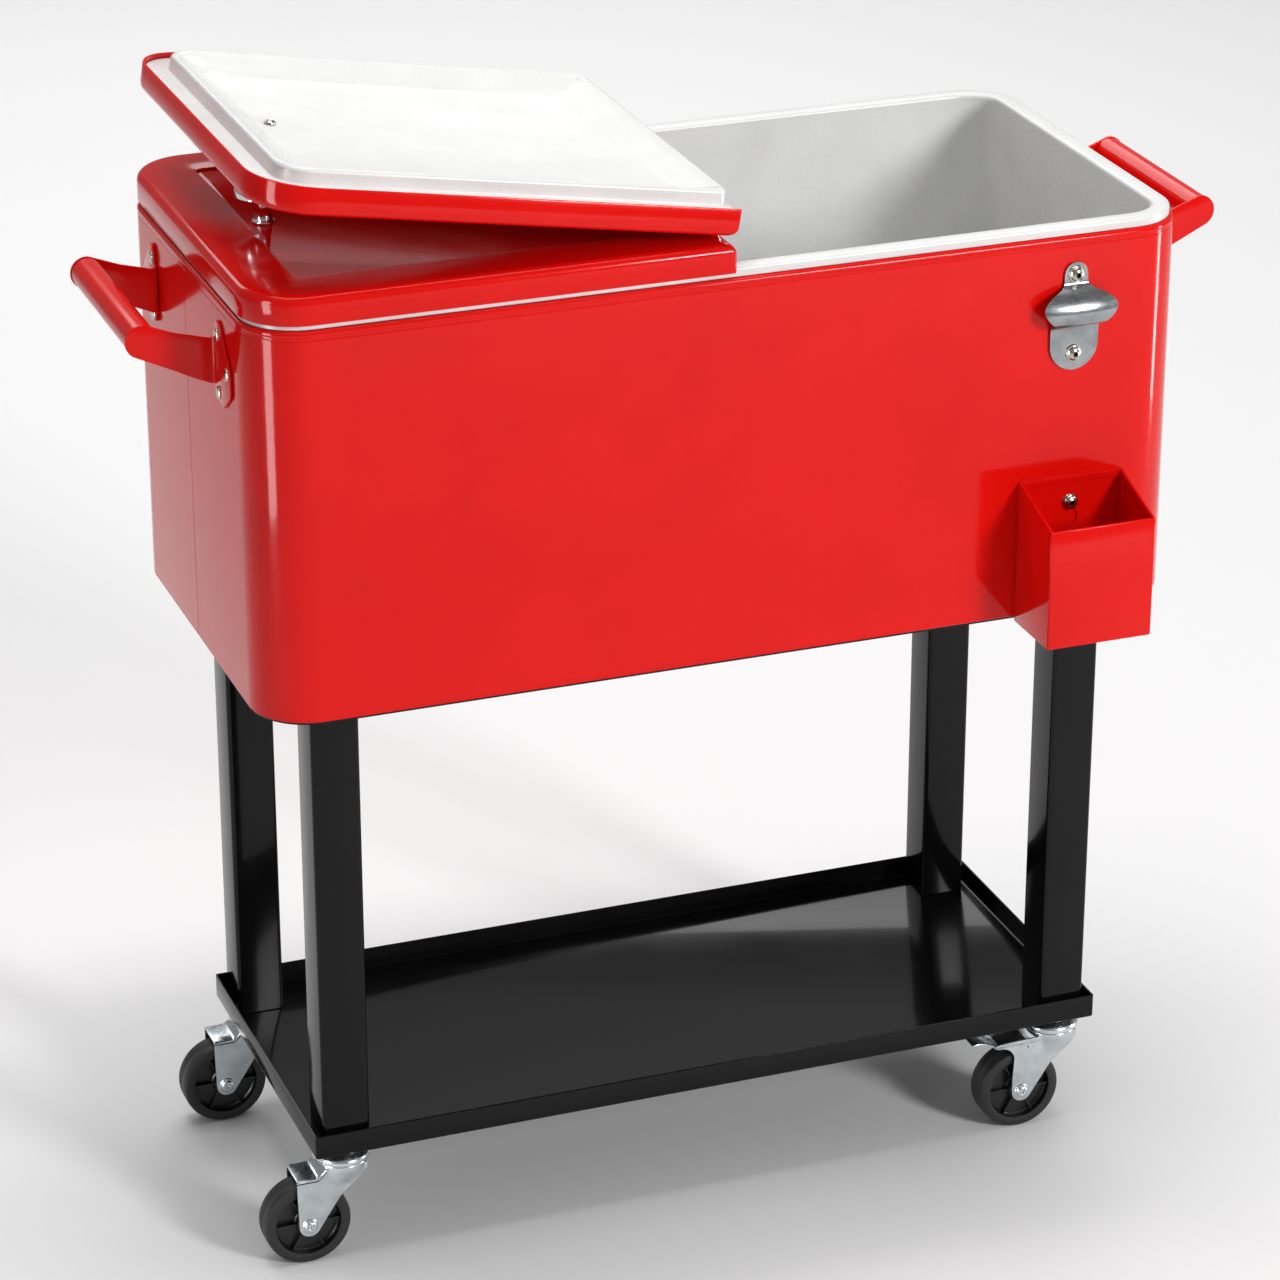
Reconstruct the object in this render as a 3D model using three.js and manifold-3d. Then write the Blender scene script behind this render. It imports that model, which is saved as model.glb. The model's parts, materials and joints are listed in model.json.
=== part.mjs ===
// Cooler on wheels: an insulated chest with two lids hinged on one centre line, four square legs,
// a lipped tray and four swivel casters. Millimetres, +Z up, +X to the right, -Y to the front.
import * as THREE from "three";
import { mergeVertices } from "three/addons/utils/BufferGeometryUtils.js";
import Module from "manifold-3d";

const wasm = await Module();
wasm.setup();

// ---------------------------------------------------------------- driving sizes
const GAP = 0.3; // between pieces that touch
const SLIP = 0.4; // between pieces that slide or drop in

const BODY_LENGTH = 740;
const BODY_WIDTH = 357;
const SHELL_HEIGHT = 304.5;
const BODY_CORNER = 46; // plan radius of the chest's corners
const SHELL_SHEET = 1.2;
const SHELL_TOP_FLANGE = 9; // sheet turned inwards at the rim
const SEAM_Y = 6; // where the front and back halves of the shell meet
const PAN_SHEET = 2.5;
const PAN_INSET = 2;

const TUB_WALL = 2.5;
const TUB_FLANGE_WIDTH = 15;
const TUB_FLANGE_RISE = 7.6; // flange top above the shell's rim
const TUB_FLANGE_INSET = 3; // flange edge inside the shell's face
const TUB_FLOOR_RADIUS = 20;
const FOAM_FLOOR = 24;
const BEVEL_STEPS = 3;

const LEG_LENGTH = 383.6;
const LEG_SECTION = 38;
const LEG_WALL = 1.6;
const LEG_CORNER = 3;
const TRAY_SETBACK_X = 37; // tray edge inside the chest's end face
const TRAY_SETBACK_Y = 34.5;
const TRAY_LIP = 20;
const TRAY_SHEET = 1.5;
const TRAY_CORNER = 1.5;
const LEG_LIP_GAP_X = 6.5;
const LEG_LIP_GAP_Y = 4;

const WHEEL_RADIUS = 35;
const WHEEL_WIDTH = 23;
const TYRE_DEPTH = 8;
const TYRE_CHAMFER = 1.8;
const HUB_RADIUS = 9;
const HUB_RECESS = 6.5; // web below the tyre's face
const HUB_OVER_TYRE = 0.8; // hub end beyond the tyre's face
const WHEEL_RIBS = 6;
const WHEEL_RIB = 1.8;
const WHEEL_RIB_SETBACK = 1.5; // rib below the tyre's face
const WHEEL_TOP_GAP = 6; // tyre to the fork's cover
const AXLE_RADIUS = 3;
const AXLE_HEAD_RADIUS = 5.5;
const AXLE_HEAD = 2;
const AXLE_HEAD_CHAMFER = 1;
const FORK_SHEET = 1.6;
const FORK_SIDE_GAP = 0.6; // hub end to the fork's cheek
const FORK_TRAIL = 31; // swivel axis to axle
const FORK_EYE_RADIUS = 8.5;
const FORK_COVER_OVERHANG = 1.5; // plain fork's cover beyond its eye
const FORK_EDGE_INSET = 4; // cheeks' far edge inside the crown
const BRAKE_TAB_REACH = 28; // brake fork's tab behind the axle
const BRAKE_TAB_HEIGHT = 5;
const CROWN_RADIUS = 21;
const CROWN_HEIGHT = 10;
const CROWN_CHAMFER = 2;
const DOME_RADIUS = 23;
const DOME_HEIGHT = 12.3;
const DOME_CHAMFER = 1.5;
const DOME_SIDE = 4; // height of the dome's upright side
const KINGPIN_RADIUS = 4;
const STEM_RADIUS = 5;
const STEM_HEIGHT = 22; // threaded stem standing up into the leg

const PEDAL_PIVOT_RISE = 5; // pedal pivot above the top of the tyre
const PEDAL_CROWN_GAP = 0.6;
const PEDAL_PIN_RADIUS = 2;
const PEDAL_PIN_PROUD = 0.8; // pin beyond the fork's cheeks
const PEDAL_BARREL_RADIUS = 3.4;
const PEDAL_REACH = 49;
const PEDAL_RISE = 7; // tip above the pivot, when up
const PEDAL_TIP = 6; // length of the tip that bends level
const PEDAL_SHEET = 2;
const PEDAL_WIDTH = 19;

const LID_HEIGHT = 22;
const LID_SHEET = 1.2;
const LID_INSET = 0.5; // lid face inside the shell's face
const LID_EDGE_RADIUS = 7;
const LID_SKIRT_OVERLAP = 3.6; // skirt below the tub flange's top
const LID_HINGE_GAP = 1.6; // lid end wall to the hinge line
const LID_PANEL_INSET = 45;
const LID_PANEL_DEPTH = 2.5;
const LID_PANEL_CORNER = 4;
const LINER_SHEET = 2;
const PLUG_CLEARANCE = 3; // plug ridge to the tub's wall
const PLUG_HEIGHT = 12;
const PLUG_WIDTH = 12;
const PLUG_FROM_HINGE = 5;

const HINGE_PIN_RISE = 2.2; // hinge axis above the lids' tops
const HINGE_PIN_RADIUS = 0.9;
const HINGE_BARREL_RADIUS = 1.8;
const HINGE_LENGTH = 280;
const HINGE_KNUCKLES = 7;
const HINGE_LEAF_SHEET = 1;
const HINGE_LEAF_DEPTH = 14;

const KNOB_FROM_END = 61; // knob axis inside the chest's end face
const KNOB_HEIGHT = 28;
const KNOB_CAP_RADIUS = 21;
const KNOB_CAP_DEPTH = 7; // rim of the cap, with its chamfers
const KNOB_CAP_CHAMFER = 1.6;
const KNOB_CAP_SLOPE = 4; // underside's slope inside the rim
const KNOB_NECK_RADIUS = 6.8;
const KNOB_NECK_FLARE = 4.2; // widening of the neck below the cap
const KNOB_BASE_RADIUS = 8.5;
const KNOB_BASE_HEIGHT = 1.5;
const KNOB_THREAD_DEPTH = 12;
const KNOB_REST_GAP = 0.5; // between the two knobs when a lid is folded over
const SCREW_RADIUS = 2;
const SCREW_HEAD_RADIUS = 4.5;
const SCREW_HEAD = 2.4;
const SCREW_HEAD_CHAMFER = 1.5;
const SCREW_IN_KNOB = 10; // screw's end above the recessed panel

const HANDLE_HALF_WIDTH = 82; // middle plane to the outside of an arm
const HANDLE_REACH = 55; // chest face to the grip's axis
const HANDLE_BELOW_RIM = 53.7; // rim to the bracket's middle
const HANDLE_RISE = 25.5; // grip's axis above the bracket's middle
const GRIP_RADIUS = 12;
const GRIP_WALL = 1.5;
const ARM_SHEET = 2;
const ARM_ROOT_HEIGHT = 38;
const ARM_END_RADIUS = 12.8;
const BRACKET_WIDTH = 42;
const BRACKET_UP = 38;
const BRACKET_DOWN = 32;
const BRACKET_CHAMFER = 6; // beside the arm's upper root

const OPENER_X = 272;
const OPENER_BOLT_SPACING = 63;
const OPENER_BELOW_RIM = 29; // rim to the upper bolt
const OPENER_SHEET = 2;
const OPENER_TAB_WIDTH = 19;
const OPENER_PLATE_WIDTH = 40;
const OPENER_HOOD_WIDTH = 60;
const OPENER_HOOD_DEPTH = 15;
const OPENER_THROAT = 26; // lower bolt to the hood's lower edge
const OPENER_FOOT = 6; // lower bolt to the middle of the plate's round end
const BOLT_RADIUS = 2.5;
const BOLT_HEAD_RADIUS = 5.8;
const BOLT_HEAD = 4;
const BOLT_CROWN_SETBACK = 2.4; // head's flat top inside its side
const BOLT_SOCKET_RADIUS = 1.6;
const BOLT_LENGTH = 12;

const BIN_X = 274.5;
const BIN_WIDTH = 87.5;
const BIN_DEPTH = 61.5;
const BIN_BACK_HEIGHT = 116;
const BIN_FRONT_HEIGHT = 96.5;
const BIN_BELOW_RIM = 192.2; // rim to the back wall's top
const BIN_SHEET = 1.2;
const BIN_BOLT_DROP = 22; // back wall's top to the bolt
const KEYHOLE_RADIUS = 7;
const KEYHOLE_DROP = 12;

const DRAIN_Y = 62;
const DRAIN_ABOVE_FLOOR = 14; // spout axis above the tub's floor
const DRAIN_BORE = 7;
const DRAIN_TUBE_RADIUS = 9.5;
const DRAIN_COLLAR_RADIUS = 15;
const DRAIN_COLLAR = 4;
const DRAIN_REACH = 16; // tube beyond the collar
const CAP_WALL = 2.5;
const CAP_CHAMFER = 1;

// ---------------------------------------------------------------- levels and places
const axleZ = WHEEL_RADIUS;
const crownBottom = 2 * WHEEL_RADIUS + WHEEL_TOP_GAP;
const crownTop = crownBottom + CROWN_HEIGHT;
const domeBottom = crownTop + SLIP;
const trayBottom = domeBottom + DOME_HEIGHT + GAP;
const legBottom = trayBottom + TRAY_SHEET + GAP;
const legTop = legBottom + LEG_LENGTH;
const panBottom = legTop + GAP;
const panTop = panBottom + PAN_SHEET;
const shellBottom = panTop + GAP;
const rimZ = shellBottom + SHELL_HEIGHT;
const flangeTop = rimZ + TUB_FLANGE_RISE;
const lidBottom = flangeTop - LID_SKIRT_OVERLAP;
const lidTop = lidBottom + LID_HEIGHT;
const hingeZ = lidTop + HINGE_PIN_RISE;
const tubBottom = panTop + GAP + FOAM_FLOOR + SLIP;
const tubFloor = tubBottom + TUB_WALL;

const halfLength = BODY_LENGTH / 2;
const halfWidth = BODY_WIDTH / 2;
const tubOpeningInset = TUB_FLANGE_INSET + TUB_FLANGE_WIDTH;
const tubWallInset = tubOpeningInset - TUB_WALL;
const trayX = halfLength - TRAY_SETBACK_X;
const trayY = halfWidth - TRAY_SETBACK_Y;
const legX = trayX - TRAY_SHEET - LEG_LIP_GAP_X - LEG_SECTION / 2;
const legY = trayY - TRAY_SHEET - LEG_LIP_GAP_Y - LEG_SECTION / 2;
const knobX = halfLength - KNOB_FROM_END;
const handleZ = rimZ - HANDLE_BELOW_RIM;
const binFront = halfWidth + GAP + BIN_DEPTH;
const binTop = rimZ - BIN_BELOW_RIM;
const binBoltZ = binTop - BIN_BOLT_DROP;
const openerZ = rimZ - OPENER_BELOW_RIM;
const drainZ = tubFloor + DRAIN_ABOVE_FLOOR;
const drainCollarX = halfLength + GAP;

// Angle at which the folded lid's knob comes to rest on the other lid's knob. The two knobs are mirror
// images about a plane through the hinge axis, and the near edges of their flat tops come closest to it.
const knobOverAxis = GAP + KNOB_HEIGHT - LID_PANEL_DEPTH - HINGE_PIN_RISE;
const knobEdge = knobX - KNOB_CAP_RADIUS + KNOB_CAP_CHAMFER;
const foldTilt =
  2 * Math.atan2(knobOverAxis, knobEdge) +
  2 * Math.asin(KNOB_REST_GAP / 2 / Math.hypot(knobOverAxis, knobEdge));
const foldAngle = Math.PI - foldTilt;

// ---------------------------------------------------------------- materials
const paint = (color, roughness, metalness) =>
  new THREE.MeshStandardMaterial({ color, roughness, metalness });
const redPaint = () => paint(0xe0201a, 0.18, 0.0);
const blackPaint = () => paint(0x1c1c1d, 0.15, 0.0);
const whitePlastic = () => paint(0xf4f4f4, 0.35, 0.0);
const foamStuff = () => paint(0xe9dfae, 0.95, 0.0);
const chrome = () => paint(0xe6e8ea, 0.06, 1.0);
const steel = () => paint(0xb9bcbf, 0.28, 1.0);
const zinc = () => paint(0xc9cfd3, 0.3, 1.0);
const tyreBlack = () => paint(0x2a2a2c, 0.55, 0.0);

// ---------------------------------------------------------------- solids
function solid(geometry) {
  const bare = geometry.clone();
  bare.deleteAttribute("normal");
  bare.deleteAttribute("uv");
  const merged = mergeVertices(bare, 1e-4);
  return new wasm.Manifold(
    new wasm.Mesh({
      numProp: 3,
      vertProperties: new Float32Array(merged.attributes.position.array),
      triVerts: new Uint32Array(merged.index.array),
    }),
  );
}

function geometryOf(made) {
  const mesh = made.getMesh();
  return new THREE.BufferGeometry()
    .setAttribute("position", new THREE.BufferAttribute(mesh.vertProperties, 3))
    .setIndex(new THREE.BufferAttribute(mesh.triVerts, 1))
    .toNonIndexed();
}

function add(group, name, made, material) {
  const geometry = geometryOf(made);
  geometry.computeVertexNormals();
  const mesh = new THREE.Mesh(geometry, material);
  mesh.name = name;
  group.add(mesh);
  return mesh;
}

const join = (...solids) => solids.reduce((all, s) => all.add(s));
const cut = (base, ...tools) => tools.reduce((left, tool) => left.subtract(tool), base);

// A box between two corners.
function block(low, high) {
  const size = high.map((v, i) => v - low[i]);
  const middle = high.map((v, i) => (v + low[i]) / 2);
  return solid(new THREE.BoxGeometry(...size).translate(...middle));
}

// A rectangle in plan with its own radius at each corner: left-front, right-front, right-back, left-back.
function rectangle(x0, x1, y0, y1, radii, steps = 7) {
  const [lf, rf, rb, lb] = Array.isArray(radii) ? radii : [radii, radii, radii, radii];
  const points = [];
  const corner = (cx, cy, r, from) => {
    const count = r > 0 ? steps : 0;
    for (let i = 0; i <= count; i++) {
      const a = from + (count ? (Math.PI / 2) * (i / count) : 0);
      points.push(new THREE.Vector2(cx + r * Math.cos(a), cy + r * Math.sin(a)));
    }
  };
  corner(x0 + lf, y0 + lf, lf, Math.PI);
  corner(x1 - rf, y0 + rf, rf, 1.5 * Math.PI);
  corner(x1 - rb, y1 - rb, rb, 0);
  corner(x0 + lb, y1 - lb, lb, 0.5 * Math.PI);
  return new THREE.Shape(points);
}

// The chest's outline moved inwards.
const outline = (inset) =>
  rectangle(
    -halfLength + inset,
    halfLength - inset,
    -halfWidth + inset,
    halfWidth - inset,
    Math.max(BODY_CORNER - inset, 2),
  );

const slab = (shape, low, high) =>
  solid(
    new THREE.ExtrudeGeometry(shape, { depth: high - low, bevelEnabled: false }).translate(0, 0, low),
  );

// A slab whose top or bottom edge is rounded: a bevel at both ends, with the other end cut square.
function roundedSlab(shapeAt, low, high, radius, roundedEnd) {
  const extra = radius + 1;
  const bottom = roundedEnd === "top" ? low - extra : low;
  const top = roundedEnd === "top" ? high : high + extra;
  const geometry = new THREE.ExtrudeGeometry(shapeAt(radius), {
    depth: top - bottom - 2 * radius,
    bevelEnabled: true,
    bevelThickness: radius,
    bevelSize: radius,
    bevelSegments: BEVEL_STEPS,
  }).translate(0, 0, bottom + radius);
  const far = 2 * BODY_LENGTH;
  const waste =
    roundedEnd === "top"
      ? block([-far, -far, bottom - 1], [far, far, low])
      : block([-far, -far, high], [far, far, top + 1]);
  return solid(geometry).subtract(waste);
}

// A turned piece: points are [radius, height] from the low end outwards and up, closed on the axis or on
// itself.
function turned(points, { at = [0, 0, 0], axis = "z", segments = 24 } = {}) {
  const geometry = new THREE.LatheGeometry(points.map(([r, h]) => new THREE.Vector2(r, h)), segments);
  if (axis === "z") geometry.rotateX(Math.PI / 2);
  if (axis === "x") geometry.rotateZ(-Math.PI / 2);
  if (axis === "-y") geometry.rotateX(Math.PI);
  return solid(geometry.translate(...at));
}

const rod = (radius, low, high, place) =>
  turned([[0, low], [radius, low], [radius, high], [0, high]], { segments: 16, ...place });

const ring = (inner, outer, low, high, place) =>
  turned([[inner, low], [outer, low], [outer, high], [inner, high], [inner, low]], place);

const toShape = (points) => new THREE.Shape(points.map(([a, b]) => new THREE.Vector2(a, b)));

// A plate that stands in the XZ plane, from an outline of [x, z], between two Y values.
function plateXZ(points, y0, y1) {
  const geometry = new THREE.ExtrudeGeometry(toShape(points), { depth: y1 - y0, bevelEnabled: false });
  return solid(geometry.rotateX(Math.PI / 2).translate(0, y1, 0));
}

// A plate that stands in the YZ plane, from an outline of [y, z], between two X values.
function plateYZ(points, x0, x1) {
  const geometry = new THREE.ExtrudeGeometry(toShape(points), { depth: x1 - x0, bevelEnabled: false });
  const turn = new THREE.Matrix4().makeBasis(
    new THREE.Vector3(0, 1, 0),
    new THREE.Vector3(0, 0, 1),
    new THREE.Vector3(1, 0, 0),
  );
  return solid(geometry.applyMatrix4(turn).translate(x0, 0, 0));
}

const arc = (cx, cz, radius, from, to, steps) =>
  Array.from({ length: steps + 1 }, (_, i) => {
    const a = from + ((to - from) * i) / steps;
    return [cx + radius * Math.cos(a), cz + radius * Math.sin(a)];
  });

// ---------------------------------------------------------------- chest
function shellHalf(front) {
  const walls = cut(
    slab(outline(0), shellBottom, rimZ),
    slab(outline(SHELL_SHEET), shellBottom - 1, rimZ - SHELL_SHEET),
    slab(outline(SHELL_TOP_FLANGE), shellBottom - 1, rimZ + 1),
  );
  const edge = SEAM_Y + (front ? -GAP / 2 : GAP / 2);
  const far = BODY_WIDTH;
  const half = front
    ? block([-far * 3, -far, 0], [far * 3, edge, rimZ + 1])
    : block([-far * 3, edge, 0], [far * 3, far, rimZ + 1]);
  return walls.intersect(half);
}

function tubLiner() {
  const wallInset = (inset) => (more) => outline(inset + more);
  const outer = roundedSlab(wallInset(tubWallInset), tubBottom, flangeTop - 1, TUB_FLOOR_RADIUS, "bottom");
  const flange = cut(
    slab(outline(TUB_FLANGE_INSET), rimZ + GAP, flangeTop),
    cut(
      slab(outline(TUB_FLANGE_INSET + TUB_WALL), rimZ, flangeTop - TUB_WALL),
      slab(outline(tubWallInset), rimZ - 1, flangeTop),
    ),
  );
  const cavity = roundedSlab(
    wallInset(tubOpeningInset),
    tubFloor,
    flangeTop + 1,
    TUB_FLOOR_RADIUS - TUB_WALL,
    "bottom",
  );
  return cut(join(outer, flange), cavity);
}

function foamBlock() {
  const cavity = roundedSlab(
    (more) => outline(tubWallInset - SLIP + more),
    tubBottom - SLIP,
    rimZ + 1,
    TUB_FLOOR_RADIUS,
    "bottom",
  );
  return cut(slab(outline(SHELL_SHEET + SLIP), panTop + GAP, rimZ - SHELL_SHEET - SLIP), cavity);
}

// ---------------------------------------------------------------- lid, drawn as the left one
// Heights here are measured from the hinge axis, so a shut lid lies below zero and to the left.
const lidRoof = -HINGE_PIN_RISE;
const lidSkirt = lidRoof - LID_HEIGHT;
const linerLow = lidSkirt + LID_SKIRT_OVERLAP + SLIP;
const linerHigh = linerLow + LINER_SHEET;
const panelFloor = lidRoof - LID_PANEL_DEPTH;

// The lid's outline moved inwards from the chest's face, with its hinge end at a distance from the axis.
function lidOutline(inset, fromHinge) {
  const r = Math.max(BODY_CORNER - inset, 2);
  return rectangle(
    -halfLength + inset,
    -fromHinge,
    -halfWidth + inset,
    halfWidth - inset,
    [r, 0, 0, r],
  );
}

function panelOutline(grow) {
  const inset = LID_PANEL_INSET - grow;
  return rectangle(
    -halfLength + inset,
    -inset,
    -halfWidth + inset,
    halfWidth - inset,
    LID_PANEL_CORNER,
    3,
  );
}

const screwHole = () => rod(SCREW_RADIUS + GAP, lidSkirt - PLUG_HEIGHT, 0, { at: [-knobX, 0, 0] });

function lidShell() {
  const inner = LID_INSET + LID_SHEET;
  const outerAt = (more) => lidOutline(LID_INSET + more, LID_HINGE_GAP + more);
  const body = roundedSlab(outerAt, lidSkirt, lidRoof, LID_EDGE_RADIUS, "top");
  const hollow = cut(
    roundedSlab(
      (more) => lidOutline(inner + more, LID_HINGE_GAP + LID_SHEET + more),
      lidSkirt - 1,
      lidRoof - LID_SHEET,
      LID_EDGE_RADIUS - LID_SHEET,
      "top",
    ),
    slab(panelOutline(LID_SHEET), panelFloor - LID_SHEET, lidRoof),
  );
  const endWallRelief = block(
    [-LID_HINGE_GAP - LID_SHEET - 1, -halfWidth + inner, lidSkirt - 1],
    [1, halfWidth - inner, linerLow],
  );
  return cut(
    body,
    hollow,
    slab(panelOutline(0), panelFloor, lidRoof + 1),
    endWallRelief,
    screwHole(),
  );
}

function lidLiner() {
  const edge = LID_INSET + LID_SHEET + SLIP;
  const plugInset = tubOpeningInset + PLUG_CLEARANCE;
  const plate = slab(lidOutline(edge, LID_HINGE_GAP + LID_SHEET + SLIP), linerLow, linerHigh);
  const ridge = cut(
    slab(lidOutline(plugInset, PLUG_FROM_HINGE), linerLow - PLUG_HEIGHT, linerHigh),
    slab(
      lidOutline(plugInset + PLUG_WIDTH, PLUG_FROM_HINGE + PLUG_WIDTH),
      linerLow - PLUG_HEIGHT - 1,
      linerHigh + 1,
    ),
  );
  return cut(join(plate, ridge), screwHole());
}

function lidFoam() {
  const edge = LID_INSET + LID_SHEET + SLIP + 1;
  const top = lidRoof - LID_SHEET - SLIP;
  const body = roundedSlab(
    (more) => lidOutline(edge + more, LID_HINGE_GAP + LID_SHEET + SLIP + 1 + more),
    linerHigh + SLIP,
    top,
    LID_EDGE_RADIUS - LID_SHEET,
    "top",
  );
  const underPanel = slab(panelOutline(LID_SHEET + SLIP), panelFloor - LID_SHEET - SLIP, 0);
  return cut(body, underPanel, screwHole());
}

function knob() {
  const rim = KNOB_HEIGHT - KNOB_CAP_DEPTH;
  const neckLow = 2 * KNOB_BASE_HEIGHT;
  const neckAt = (share) => neckLow + share * (rim - neckLow);
  const profile = [
    [0, 0],
    [KNOB_BASE_RADIUS, 0],
    [KNOB_BASE_RADIUS, KNOB_BASE_HEIGHT],
    [KNOB_NECK_RADIUS, neckLow],
    [KNOB_NECK_RADIUS, neckAt(0.3)],
    [KNOB_NECK_RADIUS + 0.3 * KNOB_NECK_FLARE, neckAt(0.55)],
    [KNOB_NECK_RADIUS + KNOB_NECK_FLARE, neckAt(0.75)],
    [KNOB_CAP_RADIUS - KNOB_CAP_SLOPE, neckAt(0.94)],
    [KNOB_CAP_RADIUS, rim],
    [KNOB_CAP_RADIUS, KNOB_HEIGHT - KNOB_CAP_CHAMFER],
    [KNOB_CAP_RADIUS - KNOB_CAP_CHAMFER, KNOB_HEIGHT],
    [0, KNOB_HEIGHT],
  ];
  const place = { at: [-knobX, 0, panelFloor + GAP] };
  return cut(
    turned(profile, { ...place, segments: 28 }),
    rod(SCREW_RADIUS + GAP, -1, KNOB_THREAD_DEPTH, place),
  );
}

function knobScrew() {
  const seat = linerLow - GAP;
  const end = panelFloor + SCREW_IN_KNOB - seat;
  const profile = [
    [0, -SCREW_HEAD],
    [SCREW_HEAD_RADIUS - SCREW_HEAD_CHAMFER, -SCREW_HEAD],
    [SCREW_HEAD_RADIUS, SCREW_HEAD_CHAMFER - SCREW_HEAD],
    [SCREW_HEAD_RADIUS, 0],
    [SCREW_RADIUS, 0],
    [SCREW_RADIUS, end],
    [0, end],
  ];
  return turned(profile, { at: [-knobX, 0, seat], segments: 16 });
}

// One leaf of the centre hinge: it has every second knuckle, counted from its front end, starting at first.
function hingeLeaf(first) {
  const pitch = HINGE_LENGTH / HINGE_KNUCKLES;
  const start = -HINGE_LENGTH / 2;
  const leafFar = -GAP - HINGE_LEAF_SHEET;
  let leaf = block(
    [leafFar, start, -HINGE_LEAF_DEPTH],
    [-GAP, -start, -HINGE_BARREL_RADIUS * 0.5],
  );
  for (let k = 0; k < HINGE_KNUCKLES; k++) {
    const place = { at: [0, start + k * pitch, 0], axis: "y", segments: 14 };
    const barrel = rod(HINGE_BARREL_RADIUS, GAP / 2, pitch - GAP / 2, place);
    const clearance = rod(HINGE_BARREL_RADIUS + GAP, -GAP / 2, pitch + GAP / 2, place);
    leaf = k % 2 === first ? leaf.add(barrel) : leaf.subtract(clearance);
  }
  return cut(leaf, rod(HINGE_PIN_RADIUS + 0.2, start - 1, -start + 1, { axis: "y", segments: 12 }));
}

const hingePin = () =>
  rod(HINGE_PIN_RADIUS, -HINGE_LENGTH / 2, HINGE_LENGTH / 2, { axis: "y", segments: 12 });

// The knuckles' count is odd, so a lid turned half round the upright takes the other leaf's knuckles.
function addLid(parent, side, firstKnuckle) {
  const lid = new THREE.Group();
  lid.rotation.z = side === "left" ? 0 : Math.PI;
  parent.add(lid);
  add(lid, `${side}_lid_shell`, lidShell(), redPaint());
  add(lid, `${side}_lid_liner`, lidLiner(), whitePlastic());
  add(lid, `${side}_lid_foam`, lidFoam(), foamStuff());
  add(lid, `${side}_knob`, knob(), chrome());
  add(lid, `${side}_knob_screw`, knobScrew(), steel());
  add(lid, `hinge_leaf_${side}`, hingeLeaf(firstKnuckle), steel());
}

// ---------------------------------------------------------------- handles, drawn as the right one
// An outline that starts on the chest's face and ends in a round eye about a centre, in the XZ plane.
function armOutline(root, reach, rise, radius) {
  const tangent = (z, side) => {
    const distance = Math.hypot(reach, z - rise);
    return Math.atan2(z - rise, -reach) + side * Math.acos(radius / distance);
  };
  const full = 2 * Math.PI;
  const low = tangent(-root, 1);
  const high = tangent(root, -1);
  const end = low + ((((high - low) % full) + full) % full);
  return [[0, -root], ...arc(reach, rise, radius, low, end, 12), [0, root]];
}

const shifted = (points, dx, dz) => points.map(([x, z]) => [x + dx, z + dz]);

function handleArm() {
  const inner = HANDLE_HALF_WIDTH - ARM_SHEET;
  const face = halfLength + GAP;
  const arm = shifted(
    armOutline(ARM_ROOT_HEIGHT / 2, HANDLE_REACH, HANDLE_RISE, ARM_END_RADIUS),
    face,
    handleZ,
  );
  const outer = HANDLE_HALF_WIDTH + BRACKET_WIDTH;
  const bracket = [
    [inner, -BRACKET_DOWN],
    [HANDLE_HALF_WIDTH + 0.48 * BRACKET_WIDTH, -BRACKET_DOWN],
    [outer, -0.6 * BRACKET_DOWN],
    [outer, 0.2 * BRACKET_UP],
    [HANDLE_HALF_WIDTH + 0.42 * BRACKET_WIDTH, BRACKET_UP],
    [inner + BRACKET_CHAMFER, BRACKET_UP],
    [inner, BRACKET_UP - BRACKET_CHAMFER],
  ];
  return join(
    plateXZ(arm, inner, HANDLE_HALF_WIDTH),
    plateYZ(shifted(bracket, 0, handleZ), face, face + ARM_SHEET),
  );
}

function handleGrip() {
  const half = HANDLE_HALF_WIDTH - ARM_SHEET - GAP;
  return ring(GRIP_RADIUS - GRIP_WALL, GRIP_RADIUS, -half, half, {
    at: [halfLength + GAP + HANDLE_REACH, 0, handleZ + HANDLE_RISE],
    axis: "y",
    segments: 20,
  });
}

function addHandle(parent, side) {
  const handle = new THREE.Group();
  parent.add(handle);
  const mirrored = side === "left" ? -1 : 1;
  handle.scale.set(mirrored, 1, 1);
  add(handle, `handle_${side}_grip`, handleGrip(), redPaint());
  add(handle, `handle_${side}_back_arm`, handleArm(), redPaint());
  const front = add(handle, `handle_${side}_front_arm`, handleArm(), redPaint());
  front.scale.y = -1;
}

// ---------------------------------------------------------------- bottle opener and catch bin
function bolt(x, z, sheet) {
  const face = halfWidth + GAP + sheet + GAP;
  const profile = [
    [0, -BOLT_LENGTH],
    [BOLT_RADIUS, -BOLT_LENGTH],
    [BOLT_RADIUS, 0],
    [BOLT_HEAD_RADIUS, 0],
    [BOLT_HEAD_RADIUS - 0.4, BOLT_HEAD * 0.45],
    [BOLT_HEAD_RADIUS - BOLT_CROWN_SETBACK, BOLT_HEAD],
    [BOLT_SOCKET_RADIUS, BOLT_HEAD],
    [BOLT_SOCKET_RADIUS, BOLT_HEAD * 0.4],
    [0, BOLT_HEAD * 0.4],
  ];
  return turned(profile, { at: [x, -face, z], axis: "-y", segments: 18 });
}

// The hole that a bolt's shank needs in what lies behind its plate.
const boltHole = (x, z, grow = 0) =>
  rod(BOLT_RADIUS + GAP + grow, -BOLT_LENGTH - 2, 12, { at: [x, -halfWidth, z], axis: "-y" });

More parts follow.
